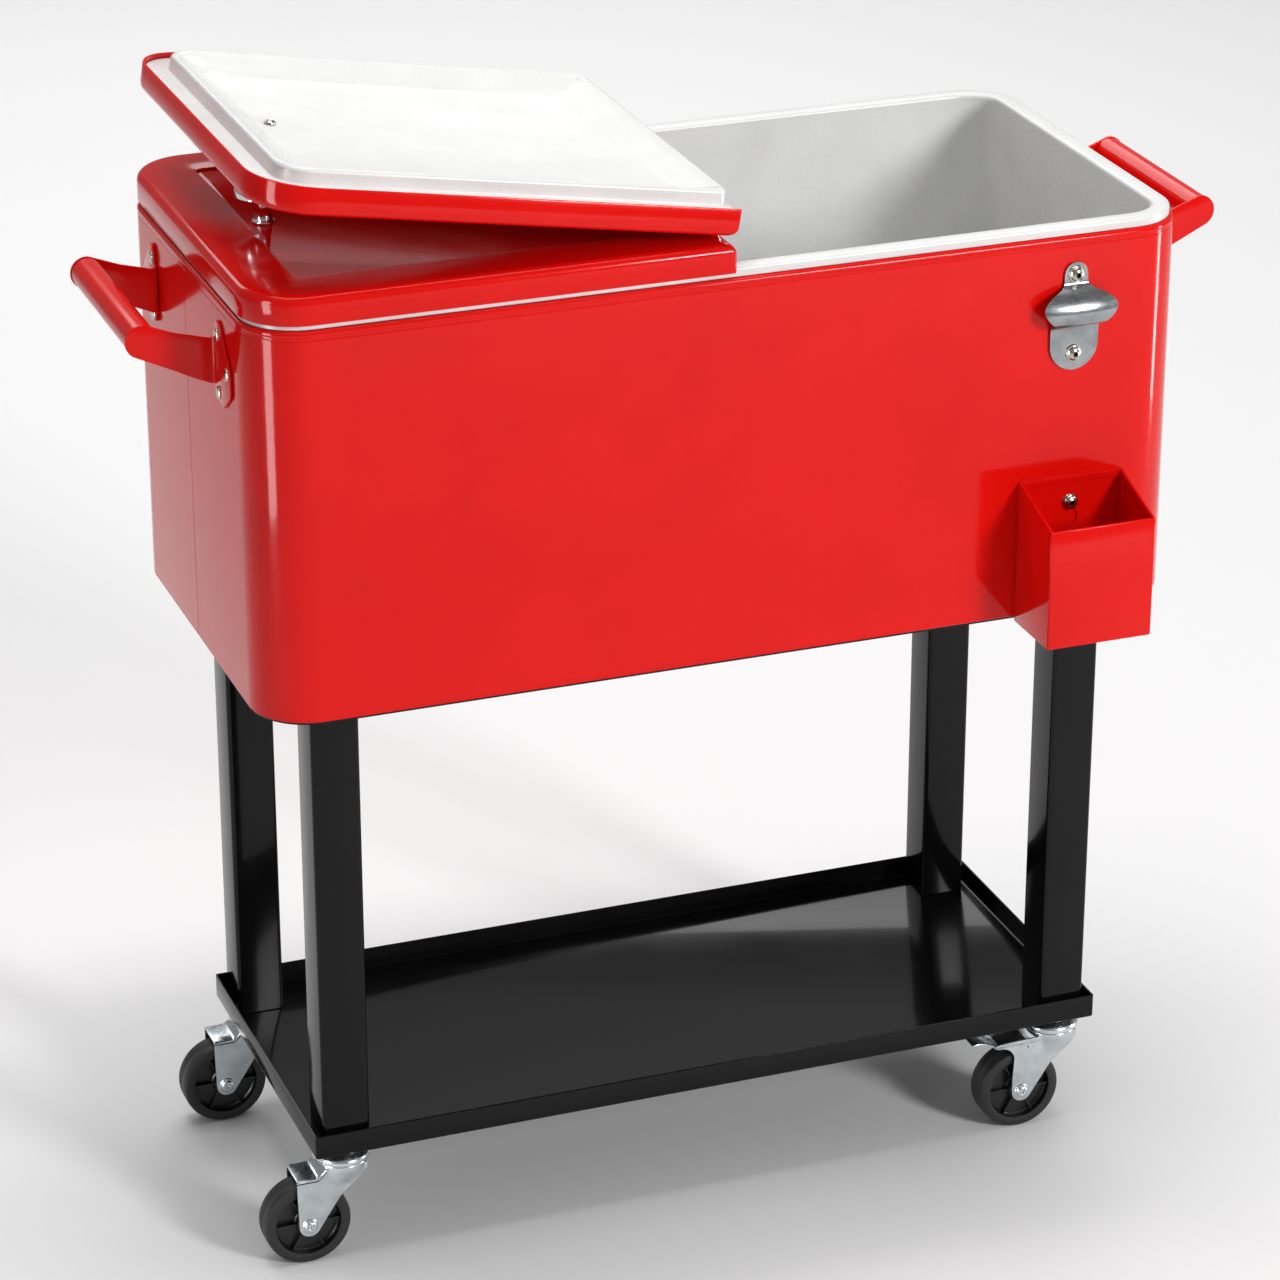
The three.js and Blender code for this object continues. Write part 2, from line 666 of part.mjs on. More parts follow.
// The opener is a tab and a round-ended foot against the chest, and a hood that bulges between them.
function openerPlate() {
  const back = -(halfWidth + GAP);
  const face = back - OPENER_SHEET;
  const lowBolt = openerZ - OPENER_BOLT_SPACING;
  const tab = OPENER_TAB_WIDTH / 2;
  const plate = OPENER_PLATE_WIDTH / 2;
  const half = OPENER_HOOD_WIDTH / 2;
  const hoodTop = openerZ - tab;
  const throat = lowBolt + OPENER_THROAT;
  const height = hoodTop - throat;
  const edgeReach = 0.8; // hood's lower edge, as a share of its depth
  const bury = OPENER_SHEET; // how far joined outlines run into each other

  const tabOutline = [
    [OPENER_X - tab, hoodTop - bury],
    [OPENER_X + tab, hoodTop - bury],
    ...arc(OPENER_X, openerZ, tab, 0, Math.PI, 8),
  ];
  const footOutline = [
    ...arc(OPENER_X, lowBolt + OPENER_FOOT, plate, Math.PI, 2 * Math.PI, 12),
    [OPENER_X + plate, throat + bury],
    [OPENER_X - plate, throat + bury],
  ];
  const bulge = (depth, low, high) => {
    const curve = new THREE.CubicBezierCurve(
      new THREE.Vector2(back, high),
      new THREE.Vector2(back - 0.75 * depth, high - 0.1 * height),
      new THREE.Vector2(back - 1.35 * depth, low + 0.45 * height),
      new THREE.Vector2(back - edgeReach * depth, low),
    );
    return curve.getPoints(8).map((p) => [p.x, p.y]);
  };
  const roof = bulge(OPENER_HOOD_DEPTH, throat, hoodTop + bury);
  const underside = bulge(OPENER_HOOD_DEPTH - OPENER_SHEET, throat + OPENER_SHEET, hoodTop);
  const sheet = plateYZ([...roof, ...underside.reverse()], OPENER_X - half, OPENER_X + half);
  const wings = [
    [OPENER_X - plate, throat - 1],
    [OPENER_X + plate, throat - 1],
    [OPENER_X + half, throat + 0.35 * height],
    [OPENER_X + half, throat + 0.72 * height],
    [OPENER_X + tab, hoodTop + bury + 1],
    [OPENER_X - tab, hoodTop + bury + 1],
    [OPENER_X - half, throat + 0.72 * height],
    [OPENER_X - half, throat + 0.35 * height],
  ];
  const lip = block(
    [OPENER_X - plate, back - edgeReach * OPENER_HOOD_DEPTH, throat],
    [OPENER_X + plate, back, throat + OPENER_SHEET],
  );
  return cut(
    join(
      plateXZ(tabOutline, face, back),
      plateXZ(footOutline, face, back),
      sheet.intersect(plateXZ(wings, back - 2 * OPENER_HOOD_DEPTH, back + 1)),
      lip,
    ),
    boltHole(OPENER_X, openerZ),
    boltHole(OPENER_X, lowBolt),
  );
}

function catchBin() {
  const back = -(halfWidth + GAP);
  const low = binTop - BIN_BACK_HEIGHT;
  const front = back - BIN_DEPTH;
  const side = (inset, raise) => [
    [front + inset, low + inset],
    [back - inset, low + inset],
    [back - inset, binTop + raise],
    [front + inset, low + BIN_FRONT_HEIGHT + raise],
  ];
  const half = BIN_WIDTH / 2;
  const boltHalf = BOLT_RADIUS + SLIP;
  const keyhole = join(
    rod(KEYHOLE_RADIUS, -BIN_SHEET - 1, 4, {
      at: [BIN_X, -halfWidth, binBoltZ - KEYHOLE_DROP],
      axis: "-y",
    }),
    block(
      [BIN_X - boltHalf, back - BIN_SHEET - 1, binBoltZ - KEYHOLE_DROP],
      [BIN_X + boltHalf, back + 1, binBoltZ + boltHalf],
    ),
  );
  return cut(
    plateYZ(side(0, 0), BIN_X - half, BIN_X + half),
    plateYZ(side(BIN_SHEET, BODY_WIDTH), BIN_X - half + BIN_SHEET, BIN_X + half - BIN_SHEET),
    keyhole,
  );
}

// ---------------------------------------------------------------- drain
const drainHole = () =>
  rod(DRAIN_TUBE_RADIUS + GAP, halfLength - 60, halfLength + 10, {
    at: [0, DRAIN_Y, drainZ],
    axis: "x",
    segments: 20,
  });

function drainSpout() {
  const start = halfLength - tubOpeningInset;
  const collarEnd = drainCollarX + DRAIN_COLLAR;
  const profile = [
    [DRAIN_BORE, start],
    [DRAIN_TUBE_RADIUS, start],
    [DRAIN_TUBE_RADIUS, drainCollarX],
    [DRAIN_COLLAR_RADIUS, drainCollarX],
    [DRAIN_COLLAR_RADIUS, collarEnd],
    [DRAIN_TUBE_RADIUS, collarEnd],
    [DRAIN_TUBE_RADIUS, collarEnd + DRAIN_REACH],
    [DRAIN_BORE, collarEnd + DRAIN_REACH],
    [DRAIN_BORE, start],
  ];
  return turned(profile, { at: [0, DRAIN_Y, drainZ], axis: "x", segments: 20 });
}

function drainCap() {
  const mouth = drainCollarX + DRAIN_COLLAR + GAP;
  const inner = DRAIN_TUBE_RADIUS + SLIP;
  const end = mouth + DRAIN_REACH + SLIP;
  const profile = [
    [inner, mouth],
    [inner + CAP_WALL, mouth],
    [inner + CAP_WALL, end + CAP_WALL - CAP_CHAMFER],
    [inner + CAP_WALL - CAP_CHAMFER, end + CAP_WALL],
    [0, end + CAP_WALL],
    [0, end],
    [inner, end],
    [inner, mouth],
  ];
  return turned(profile, { at: [0, DRAIN_Y, drainZ], axis: "x", segments: 20 });
}

// ---------------------------------------------------------------- stand
const corners = [
  { name: "front_left", x: -legX, y: -legY, brake: false },
  { name: "front_right", x: legX, y: -legY, brake: true },
  { name: "back_left", x: -legX, y: legY, brake: false },
  { name: "back_right", x: legX, y: legY, brake: true },
];

function leg(x, y) {
  const half = LEG_SECTION / 2;
  const inner = half - LEG_WALL;
  return cut(
    slab(rectangle(x - half, x + half, y - half, y + half, LEG_CORNER, 3), legBottom, legTop),
    slab(
      rectangle(x - inner, x + inner, y - inner, y + inner, LEG_CORNER - LEG_WALL, 3),
      legBottom - 1,
      legTop + 1,
    ),
  );
}

function tray() {
  const outer = rectangle(-trayX, trayX, -trayY, trayY, TRAY_CORNER, 2);
  const inX = trayX - TRAY_SHEET;
  const inY = trayY - TRAY_SHEET;
  const inner = rectangle(-inX, inX, -inY, inY, 0);
  const stemHoles = corners.map(({ x, y }) =>
    rod(STEM_RADIUS + GAP, trayBottom - 1, trayBottom + TRAY_SHEET + 1, { at: [x, y, 0] }),
  );
  return cut(
    slab(outer, trayBottom, trayBottom + TRAY_LIP),
    slab(inner, trayBottom + TRAY_SHEET, trayBottom + TRAY_LIP + 1),
    ...stemHoles,
  );
}

// ---------------------------------------------------------------- casters, drawn about the swivel axis
const hubHalf = WHEEL_WIDTH / 2 + HUB_OVER_TYRE;
const cheekInner = hubHalf + FORK_SIDE_GAP;
const cheekOuter = cheekInner + FORK_SHEET;
const crownEdge = FORK_TRAIL - CROWN_RADIUS; // crown's near edge, from the axle
const pedalPivotX = -CROWN_RADIUS - PEDAL_CROWN_GAP - PEDAL_BARREL_RADIUS;
const pedalPivotZ = 2 * WHEEL_RADIUS + PEDAL_PIVOT_RISE;

function swivelMount() {
  const top = trayBottom - GAP;
  const profile = [
    [0, crownBottom + 1],
    [KINGPIN_RADIUS, crownBottom + 1],
    [KINGPIN_RADIUS, domeBottom],
    [DOME_RADIUS - DOME_CHAMFER, domeBottom],
    [DOME_RADIUS, domeBottom + DOME_CHAMFER],
    [DOME_RADIUS, domeBottom + DOME_SIDE],
    [DOME_RADIUS * 0.87, top - 0.33 * DOME_HEIGHT],
    [DOME_RADIUS * 0.6, top],
    [STEM_RADIUS, top],
    [STEM_RADIUS, trayBottom + STEM_HEIGHT],
    [0, trayBottom + STEM_HEIGHT],
  ];
  return turned(profile, { segments: 28 });
}

// The cheek's outline from the axle: round the eye, up to the crown, and back over the tyre.
// A brake fork's cheek reaches behind the eye with a tab, and a hollow curve leads from the tab to the eye.
function cheekOutline(brake) {
  const eye = FORK_EYE_RADIUS;
  const crown = crownBottom - axleZ;
  const right = FORK_TRAIL + CROWN_RADIUS - FORK_EDGE_INSET;
  const shoulder = crown - FORK_EDGE_INSET;
  const low = Math.atan2(shoulder, right) - Math.acos(eye / Math.hypot(right, shoulder));
  const near = [
    ...arc(0, 0, eye, -Math.PI, low, 8),
    [right, shoulder],
    [right, crown + FORK_SHEET],
  ];
  if (!brake) return [...near, [-eye - FORK_COVER_OVERHANG, crown + FORK_SHEET]];
  const top = pedalPivotZ - axleZ + PEDAL_BARREL_RADIUS + FORK_SHEET;
  const tabFoot = top - BRAKE_TAB_HEIGHT;
  const hollow = BRAKE_TAB_REACH - eye - 1;
  return [
    ...near,
    [crownEdge - FORK_EDGE_INSET, top],
    [-BRAKE_TAB_REACH, top],
    [-BRAKE_TAB_REACH, tabFoot],
    ...arc(-BRAKE_TAB_REACH + 1, tabFoot - hollow, hollow, Math.PI / 2, 0, 6),
  ];
}

function fork(brake) {
  const outlinePoints = shifted(cheekOutline(brake), -FORK_TRAIL, axleZ);
  const coverEnd = brake
    ? -CROWN_RADIUS + CROWN_CHAMFER
    : -FORK_TRAIL - FORK_EYE_RADIUS - FORK_COVER_OVERHANG;
  const parts = [
    plateXZ(outlinePoints, cheekInner, cheekOuter),
    plateXZ(outlinePoints, -cheekOuter, -cheekInner),
    block(
      [coverEnd, -cheekOuter, crownBottom],
      [CROWN_RADIUS - FORK_EDGE_INSET, cheekOuter, crownBottom + FORK_SHEET],
    ),
    turned(
      [
        [0, crownBottom],
        [CROWN_RADIUS - CROWN_CHAMFER, crownBottom],
        [CROWN_RADIUS, crownBottom + CROWN_CHAMFER],
        [CROWN_RADIUS, crownTop],
        [0, crownTop],
      ],
      { segments: 28 },
    ),
  ];
  const axleHole = rod(AXLE_RADIUS + GAP, -cheekOuter - 1, cheekOuter + 1, {
    at: [-FORK_TRAIL, 0, axleZ],
    axis: "y",
  });
  const holes = [axleHole, rod(KINGPIN_RADIUS + SLIP, crownBottom - 1, crownTop + 1)];
  if (brake)
    holes.push(
      rod(PEDAL_PIN_RADIUS + GAP, -cheekOuter - 1, cheekOuter + 1, {
        at: [pedalPivotX, 0, pedalPivotZ],
        axis: "y",
      }),
    );
  return cut(join(...parts), ...holes);
}

function wheel() {
  const half = WHEEL_WIDTH / 2;
  const rimRadius = WHEEL_RADIUS - TYRE_DEPTH;
  const web = half - HUB_RECESS;
  const bore = AXLE_RADIUS + SLIP;
  const place = { at: [-FORK_TRAIL, 0, axleZ], axis: "y", segments: 32 };
  const side = [
    [HUB_RADIUS, hubHalf],
    [HUB_RADIUS + 0.6, web],
    [rimRadius - 1, web],
    [rimRadius, half],
    [WHEEL_RADIUS - TYRE_CHAMFER, half],
    [WHEEL_RADIUS, half - TYRE_CHAMFER],
  ];
  const profile = [
    [bore, -hubHalf],
    ...side.map(([r, y]) => [r, -y]),
    ...[...side].reverse(),
    [bore, hubHalf],
    [bore, -hubHalf],
  ];
  const turnedWheel = turned(profile, place);
  const ribs = Array.from({ length: WHEEL_RIBS }, (_, i) => {
    const width = WHEEL_WIDTH - 2 * WHEEL_RIB_SETBACK;
    const geometry = new THREE.BoxGeometry(rimRadius - HUB_RADIUS, width, WHEEL_RIB)
      .translate((rimRadius + HUB_RADIUS) / 2, 0, 0)
      .rotateY((2 * Math.PI * i) / WHEEL_RIBS)
      .translate(-FORK_TRAIL, 0, axleZ);
    return solid(geometry);
  });
  return join(turnedWheel, ...ribs);
}

function axle() {
  const inside = cheekOuter + GAP;
  const end = inside + AXLE_HEAD;
  const half = [
    [AXLE_RADIUS, inside],
    [AXLE_HEAD_RADIUS, inside],
    [AXLE_HEAD_RADIUS, end - AXLE_HEAD_CHAMFER],
    [AXLE_HEAD_RADIUS - AXLE_HEAD_CHAMFER, end],
    [0, end],
  ];
  const profile = [...[...half].reverse().map(([r, y]) => [r, -y]), ...half];
  return turned(profile, { at: [-FORK_TRAIL, 0, axleZ], axis: "y", segments: 18 });
}

function brakePedal() {
  const half = PEDAL_SHEET / 2;
  const lever = shifted(
    [
      [0, -half],
      [0, half],
      [-PEDAL_REACH + PEDAL_TIP, half + PEDAL_RISE],
      [-PEDAL_REACH, half + PEDAL_RISE],
      [-PEDAL_REACH, -half + PEDAL_RISE],
      [-PEDAL_REACH + PEDAL_TIP, -half + PEDAL_RISE],
    ],
    pedalPivotX,
    pedalPivotZ,
  );
  const place = { at: [pedalPivotX, 0, pedalPivotZ], axis: "y" };
  return join(
    plateXZ(lever, -PEDAL_WIDTH / 2, PEDAL_WIDTH / 2),
    rod(PEDAL_BARREL_RADIUS, -cheekInner + SLIP, cheekInner - SLIP, place),
    rod(PEDAL_PIN_RADIUS, -cheekOuter - PEDAL_PIN_PROUD, cheekOuter + PEDAL_PIN_PROUD, place),
  );
}

function addCaster(parent, corner) {
  const caster = new THREE.Group();
  caster.position.set(corner.x, corner.y, 0);
  parent.add(caster);
  add(caster, `caster_mount_${corner.name}`, swivelMount(), zinc());
  add(caster, `fork_${corner.name}`, fork(corner.brake), zinc());
  add(caster, `wheel_${corner.name}`, wheel(), tyreBlack());
  add(caster, `axle_${corner.name}`, axle(), zinc());
  if (corner.brake) add(caster, `brake_pedal_${corner.name}`, brakePedal(), zinc());
}

// ---------------------------------------------------------------- the cooler
const cooler = new THREE.Group();
// The whole is moved along Y so that its box is centred on the origin: the bin stands out at the front only.
cooler.position.y = (binFront - halfWidth) / 2;

const lowOpenerZ = openerZ - OPENER_BOLT_SPACING;
const frontHoles = [boltHole(OPENER_X, openerZ), boltHole(OPENER_X, lowOpenerZ), boltHole(BIN_X, binBoltZ)];
add(cooler, "shell_front", cut(shellHalf(true), ...frontHoles), redPaint());
add(cooler, "shell_back", cut(shellHalf(false), drainHole()), redPaint());
add(cooler, "bottom_pan", slab(outline(PAN_INSET), panBottom, panTop), blackPaint());
add(cooler, "foam_insulation", cut(foamBlock(), drainHole(), ...frontHoles), foamStuff());
add(cooler, "tub_liner", cut(tubLiner(), drainHole()), whitePlastic());
add(cooler, "drain_spout", drainSpout(), whitePlastic());
add(cooler, "drain_cap", drainCap(), whitePlastic());
addHandle(cooler, "left");
addHandle(cooler, "right");
add(cooler, "opener_plate", openerPlate(), steel());
add(cooler, "opener_bolt_upper", bolt(OPENER_X, openerZ, OPENER_SHEET), steel());
add(cooler, "opener_bolt_lower", bolt(OPENER_X, lowOpenerZ, OPENER_SHEET), steel());
add(cooler, "catch_bin", catchBin(), redPaint());
add(cooler, "bin_bolt", bolt(BIN_X, binBoltZ, BIN_SHEET), steel());
add(cooler, "tray", tray(), blackPaint());
for (const corner of corners) {
  add(cooler, `leg_${corner.name}`, leg(corner.x, corner.y), blackPaint());
  addCaster(cooler, corner);
}

// Both lids turn about one axis. The left lid is shut and the right one is folded over onto it.
const hingeLine = new THREE.Group();
hingeLine.position.z = hingeZ;
cooler.add(hingeLine);
add(hingeLine, "hinge_pin", hingePin(), steel());
addLid(hingeLine, "left", 0);
const folded = new THREE.Group();
folded.rotation.y = -foldAngle;
hingeLine.add(folded);
addLid(folded, "right", 1);

export default cooler;
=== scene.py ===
"""Looks of a cooler on wheels: an enamelled steel chest with a white tub, two folding lids, end handles,
a wall opener with its catch bin, square legs, a lipped tray and swivel casters. Metres, +Z up."""
import json
import math

import bmesh
import bpy
from mathutils import Matrix, Vector


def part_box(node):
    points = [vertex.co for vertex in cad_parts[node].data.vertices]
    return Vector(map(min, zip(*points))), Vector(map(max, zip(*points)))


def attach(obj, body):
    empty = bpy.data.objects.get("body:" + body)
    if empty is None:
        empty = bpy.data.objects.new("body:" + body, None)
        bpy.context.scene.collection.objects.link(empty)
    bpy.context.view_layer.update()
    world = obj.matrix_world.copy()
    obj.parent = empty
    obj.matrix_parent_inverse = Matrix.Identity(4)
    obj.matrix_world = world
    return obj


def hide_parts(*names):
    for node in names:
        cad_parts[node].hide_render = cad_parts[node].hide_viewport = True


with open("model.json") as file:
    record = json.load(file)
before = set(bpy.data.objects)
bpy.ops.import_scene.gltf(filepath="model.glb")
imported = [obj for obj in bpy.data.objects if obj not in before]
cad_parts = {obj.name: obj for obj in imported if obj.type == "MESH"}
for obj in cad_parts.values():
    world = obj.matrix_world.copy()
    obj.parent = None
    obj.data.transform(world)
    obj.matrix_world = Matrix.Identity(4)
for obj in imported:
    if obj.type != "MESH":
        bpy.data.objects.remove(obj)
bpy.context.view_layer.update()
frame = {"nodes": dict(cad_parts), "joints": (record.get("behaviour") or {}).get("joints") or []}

MM = 0.001
QUARTER = math.pi / 2


# ---------------------------------------------------------------- places from the frame
def joined_box(*nodes):
    boxes = [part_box(n) for n in nodes]
    low = Vector([min(b[0][i] for b in boxes) for i in range(3)])
    high = Vector([max(b[1][i] for b in boxes) for i in range(3)])
    return low, high


joints = {j["name"]: j for j in frame["joints"]}
shell_low, shell_high = joined_box("shell_front", "shell_back")
tub_low, tub_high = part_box("tub_liner")
lid_low, lid_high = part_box("left_lid_shell")
tray_low, tray_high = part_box("tray")
hinge = Vector(joints["left_lid_hinge"]["pos_m"])
fold_angle = math.radians(abs(joints["right_lid_hinge"]["range_deg"][0]))

MID_Y = hinge.y
RIM_Z = shell_high.z
HALF_LENGTH = shell_high.x
HALF_WIDTH = (shell_high.y - shell_low.y) / 2
CORNER = 46 * MM  # plan radius of the chest
GAP = 0.3 * MM  # between pieces that touch
OPENING = 18  # mm, the tub's wall inside the chest's face
SEAM_Y = (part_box("shell_front")[1].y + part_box("shell_back")[0].y) / 2
SEAM_GAP = 0.9 * MM
STRIP = 2 * MM  # strip steel of the handles and the opener


def in_metres(points):
    """A profile or outline drawn in millimetres, in metres."""
    return [(a * MM, b * MM) for a, b in points]


# ---------------------------------------------------------------- colours and node trees
def linear(code):
    """An sRGB hex colour as linear RGBA."""
    parts = [int(code[i : i + 2], 16) / 255 for i in (1, 3, 5)]
    return [c / 12.92 if c <= 0.04045 else ((c + 0.055) / 1.055) ** 2.4 for c in parts] + [1.0]


def add_node(tree, kind, settings=None, inputs=None):
    """Adds one node, sets its properties, and sets or links its inputs by name or number."""
    node = tree.nodes.new(kind)
    for key, value in (settings or {}).items():
        setattr(node, key, value)
    for key, value in (inputs or {}).items():
        if isinstance(value, bpy.types.NodeSocket):
            tree.links.new(value, node.inputs[key])
        else:
            node.inputs[key].default_value = value
    return node


def material(name, dress, **values):
    """A Principled material: values go on its sockets, and dress(tree, place) returns what is linked."""
    made = bpy.data.materials.new(name)
    made.use_nodes = True
    tree = made.node_tree
    shader = tree.nodes["Principled BSDF"]
    for key, value in values.items():
        shader.inputs[key.replace("_", " ")].default_value = value
    place = add_node(tree, "ShaderNodeTexCoord").outputs["Object"]
    for key, socket in dress(tree, place).items():
        tree.links.new(socket, shader.inputs[key])
    made.diffuse_color = shader.inputs["Base Color"].default_value
    return made


def grains(tree, place, size, detail=2.0, stretch=(1, 1, 1)):
    """Noise whose grains are about size metres across, between 0 and 1."""
    mapped = add_node(tree, "ShaderNodeMapping", None, {"Vector": place, "Scale": stretch})
    settings = {"Vector": mapped.outputs[0], "Scale": 1 / size, "Detail": detail}
    return add_node(tree, "ShaderNodeTexNoise", None, settings).outputs[0]


def between(tree, value, low, high):
    """Value, as it leaves a noise, spread from low to high."""
    inputs = {"Value": value, "From Min": 0.3, "From Max": 0.7, "To Min": low, "To Max": high}
    return add_node(tree, "ShaderNodeMapRange", None, inputs).outputs[0]


def shaded(tree, value, dark, light):
    """A colour that goes from dark to light with a noise."""
    mix = add_node(tree, "ShaderNodeMix", {"data_type": "RGBA"}, {0: between(tree, value, 0, 1)})
    mix.inputs[6].default_value = linear(dark)
    mix.inputs[7].default_value = linear(light)
    return mix.outputs[2]


def bumped(tree, value, depth):
    """A normal tilted by a noise of the given depth."""
    inputs = {"Height": value, "Distance": depth, "Strength": 1.0}
    return add_node(tree, "ShaderNodeBump", None, inputs).outputs[0]


def enamel(dark, light):
    """Sprayed and baked enamel: a faint orange peel, drawn at 5 mm so that it shows, and soft clouding."""

    def dress(tree, place):
        peel = grains(tree, place, 5 * MM, 1.0)
        cloud = grains(tree, place, 90 * MM)
        return {
            "Base Color": shaded(tree, cloud, dark, light),
            "Roughness": between(tree, cloud, 0.1, 0.16),
            "Normal": bumped(tree, peel, 0.012 * MM),
        }

    return dress


def moulded(dark, light, grain, depth, rough):
    """Moulded plastic or rubber with the fine grain of its mould."""

    def dress(tree, place):
        skin = grains(tree, place, grain, 3.0)
        cloud = grains(tree, place, 60 * MM)
        return {
            "Base Color": shaded(tree, cloud, dark, light),
            "Roughness": between(tree, skin, rough - 0.06, rough + 0.06),
            "Normal": bumped(tree, skin, depth),
        }

    return dress


def metal(dark, light, rough, spread, grain, stretch=(1, 1, 1), depth=0.004 * MM):
    """Bare or plated metal, whose polish lines or plating crystals run along its stretched grains."""

    def dress(tree, place):
        lines = grains(tree, place, grain, 3.0, stretch)
        cloud = grains(tree, place, 12 * MM)
        return {
            "Base Color": shaded(tree, cloud, dark, light),
            "Roughness": between(tree, lines, rough - spread, rough + spread),
            "Normal": bumped(tree, lines, depth),
        }

    return dress


ENAMEL_SKIN = {"Coat_Weight": 0.17, "Coat_Roughness": 0.03, "Specular_IOR_Level": 0.12}
# Baked red enamel on mild steel: wet-looking, deep red, a clear skin over the pigment.
RED = material("baked_red_enamel", enamel("#DA0C07", "#E30F09"), **ENAMEL_SKIN)
# Baked black enamel on mild steel: near black and mirror-like.
BLACK = material("baked_black_enamel", enamel("#09090A", "#0E0E0F"), **ENAMEL_SKIN)
# Polystyrene sheet drawn over a mould: clean white with a satin skin.
WHITE = material("vacuum_formed_polystyrene", moulded("#DBDBDA", "#E4E4E3", 1.2 * MM, 0.01 * MM, 0.3))
# The same sheet where the mould is textured, as on the dished floor of a lid liner.
GRAINED = material("grained_polystyrene", moulded("#DFDFDE", "#E6E6E5", 2.2 * MM, 0.16 * MM, 0.5))
# Rigid polyurethane foam: cream, open-celled and dull.
FOAM = material("polyurethane_foam", moulded("#D9C98C", "#EBDDA6", 1.5 * MM, 0.3 * MM, 0.9))
# Bright chrome on a die-cast knob.
CHROME = material("bright_chrome", metal("#DCDEE0", "#E8EAEB", 0.05, 0.02, 8 * MM), Metallic=1.0)
# Stainless strip, stamped and tumble-polished, with drawn lines left along it.
STAINLESS = material(
    "satin_stainless", metal("#86898C", "#A0A3A6", 0.24, 0.06, 6 * MM, (1, 1, 14)), Metallic=1.0
)
# Bright zinc plate on pressed steel: pale, bluish, slightly clouded.
ZINC = material("bright_zinc_plate", metal("#C3CAD0", "#D8DEE2", 0.22, 0.07, 2.5 * MM), Metallic=1.0)
# Nickel on steel, as on rivets and button-head bolts.
NICKEL = material("nickel_plate", metal("#A5A196", "#C2BEB2", 0.2, 0.05, 2 * MM), Metallic=1.0)
# Thermoplastic rubber of a caster's tread: satin charcoal.
TREAD = material("thermoplastic_rubber", moulded("#161617", "#202022", 0.9 * MM, 0.03 * MM, 0.5))
# Glass-filled nylon of a wheel's centre: black with a soft shine.
NYLON = material("black_nylon", moulded("#0B0B0C", "#141415", 1.1 * MM, 0.02 * MM, 0.36))
# Painted shade: the inside of a socket or slot, coloured as near-black metal where there is only shadow.
SOCKET_SHADE = material("socket_painted_shade", metal("#1A1815", "#2B2722", 0.45, 0.1, 2 * MM), Metallic=1.0)


# ---------------------------------------------------------------- mesh work
SMOOTH_BELOW = math.radians(38)


def settle(piece, paint, smooth_below=SMOOTH_BELOW):
    """Applies a piece's modifiers, gives it its material and smooths all but its sharp edges."""
    if piece.modifiers:
        graph = bpy.context.evaluated_depsgraph_get()
        flat = bpy.data.meshes.new_from_object(piece.evaluated_get(graph))
        piece.modifiers.clear()
        piece.data = flat
        flat.name = piece.name
    if not piece.data.materials:
        piece.data.materials.append(paint)
    for face in piece.data.polygons:
        face.use_smooth = True
    piece.data.set_sharp_from_angle(angle=smooth_below)
    return piece


def new_piece(name, work, recalc=True):
    """An object made from a bmesh, with its doubles merged and its faces turned outwards."""
    bmesh.ops.remove_doubles(work, verts=work.verts, dist=1e-6)
    if recalc:
        bmesh.ops.recalc_face_normals(work, faces=work.faces)
    mesh = bpy.data.meshes.new(name)
    work.to_mesh(mesh)
    work.free()
    piece = bpy.data.objects.new(name, mesh)
    bpy.context.scene.collection.objects.link(piece)
    return piece


def loft(work, rings, closed=True, cap_start=False, cap_end=False, wrap=False):
    """Faces between rings of equal count. closed joins each ring's ends, and wrap joins the last ring to
    the first."""
    rows = [[work.verts.new(p) for p in ring] for ring in rings]
    pairs = list(zip(rows, rows[1:])) + ([(rows[-1], rows[0])] if wrap else [])
    count = len(rows[0])
    for a, b in pairs:
        for i in range(count if closed else count - 1):
            j = (i + 1) % count
            work.faces.new((a[i], a[j], b[j], b[i]))
    if cap_start:
        work.faces.new(rows[0])
    if cap_end:
        work.faces.new(rows[-1])
    return rows


def arc(cx, cy, radius, start, end, steps):
    """Points on an arc, angles in degrees."""
    angles = [math.radians(start + (end - start) * i / steps) for i in range(steps + 1)]
    return [(cx + radius * math.cos(a), cy + radius * math.sin(a)) for a in angles]


def rounded(x0, x1, y0, y1, radii, steps=12):
    """A rounded rectangle, from its left front corner anticlockwise; radii for lf, rf, rb, lb."""
    lf, rf, rb, lb = radii if hasattr(radii, "__len__") else [radii] * 4
    return (
        arc(x0 + lf, y0 + lf, lf, 180, 270, steps)
        + arc(x1 - rf, y0 + rf, rf, 270, 360, steps)
        + arc(x1 - rb, y1 - rb, rb, 0, 90, steps)
        + arc(x0 + lb, y1 - lb, lb, 90, 180, steps)
    )


def turned(work, profile, centre=(0, 0, 0), axis="z", segments=48):
    """Turns a profile of (radius, height) about an axis through centre. It starts and ends on the axis, or
    closes on itself."""
    turn = {
        "z": Matrix.Identity(3),
        "y": Matrix.Rotation(-QUARTER, 3, "X"),
        "-y": Matrix.Rotation(QUARTER, 3, "X"),
        "x": Matrix.Rotation(QUARTER, 3, "Y"),
        "-x": Matrix.Rotation(-QUARTER, 3, "Y"),
    }[axis]
    centre = Vector(centre)
    rings = []
    for radius, height in profile:
        angles = [2 * math.pi * i / segments for i in range(segments)]
        ring = [Vector((radius * math.cos(a), radius * math.sin(a), height)) for a in angles]
        rings.append([centre + turn @ p for p in ring])
    loft(work, rings, wrap=profile[0] == profile[-1] and profile[0][0] > 0)


def turned_piece(name, profile, paint, **place):
    """A turned piece in one material, from a profile in millimetres."""
    work = bmesh.new()
    turned(work, in_metres(profile), **place)
    bmesh.ops.remove_doubles(work, verts=work.verts, dist=1e-7)
    bmesh.ops.dissolve_degenerate(work, edges=work.edges, dist=1e-7)
    return settle(new_piece(name, work), paint)


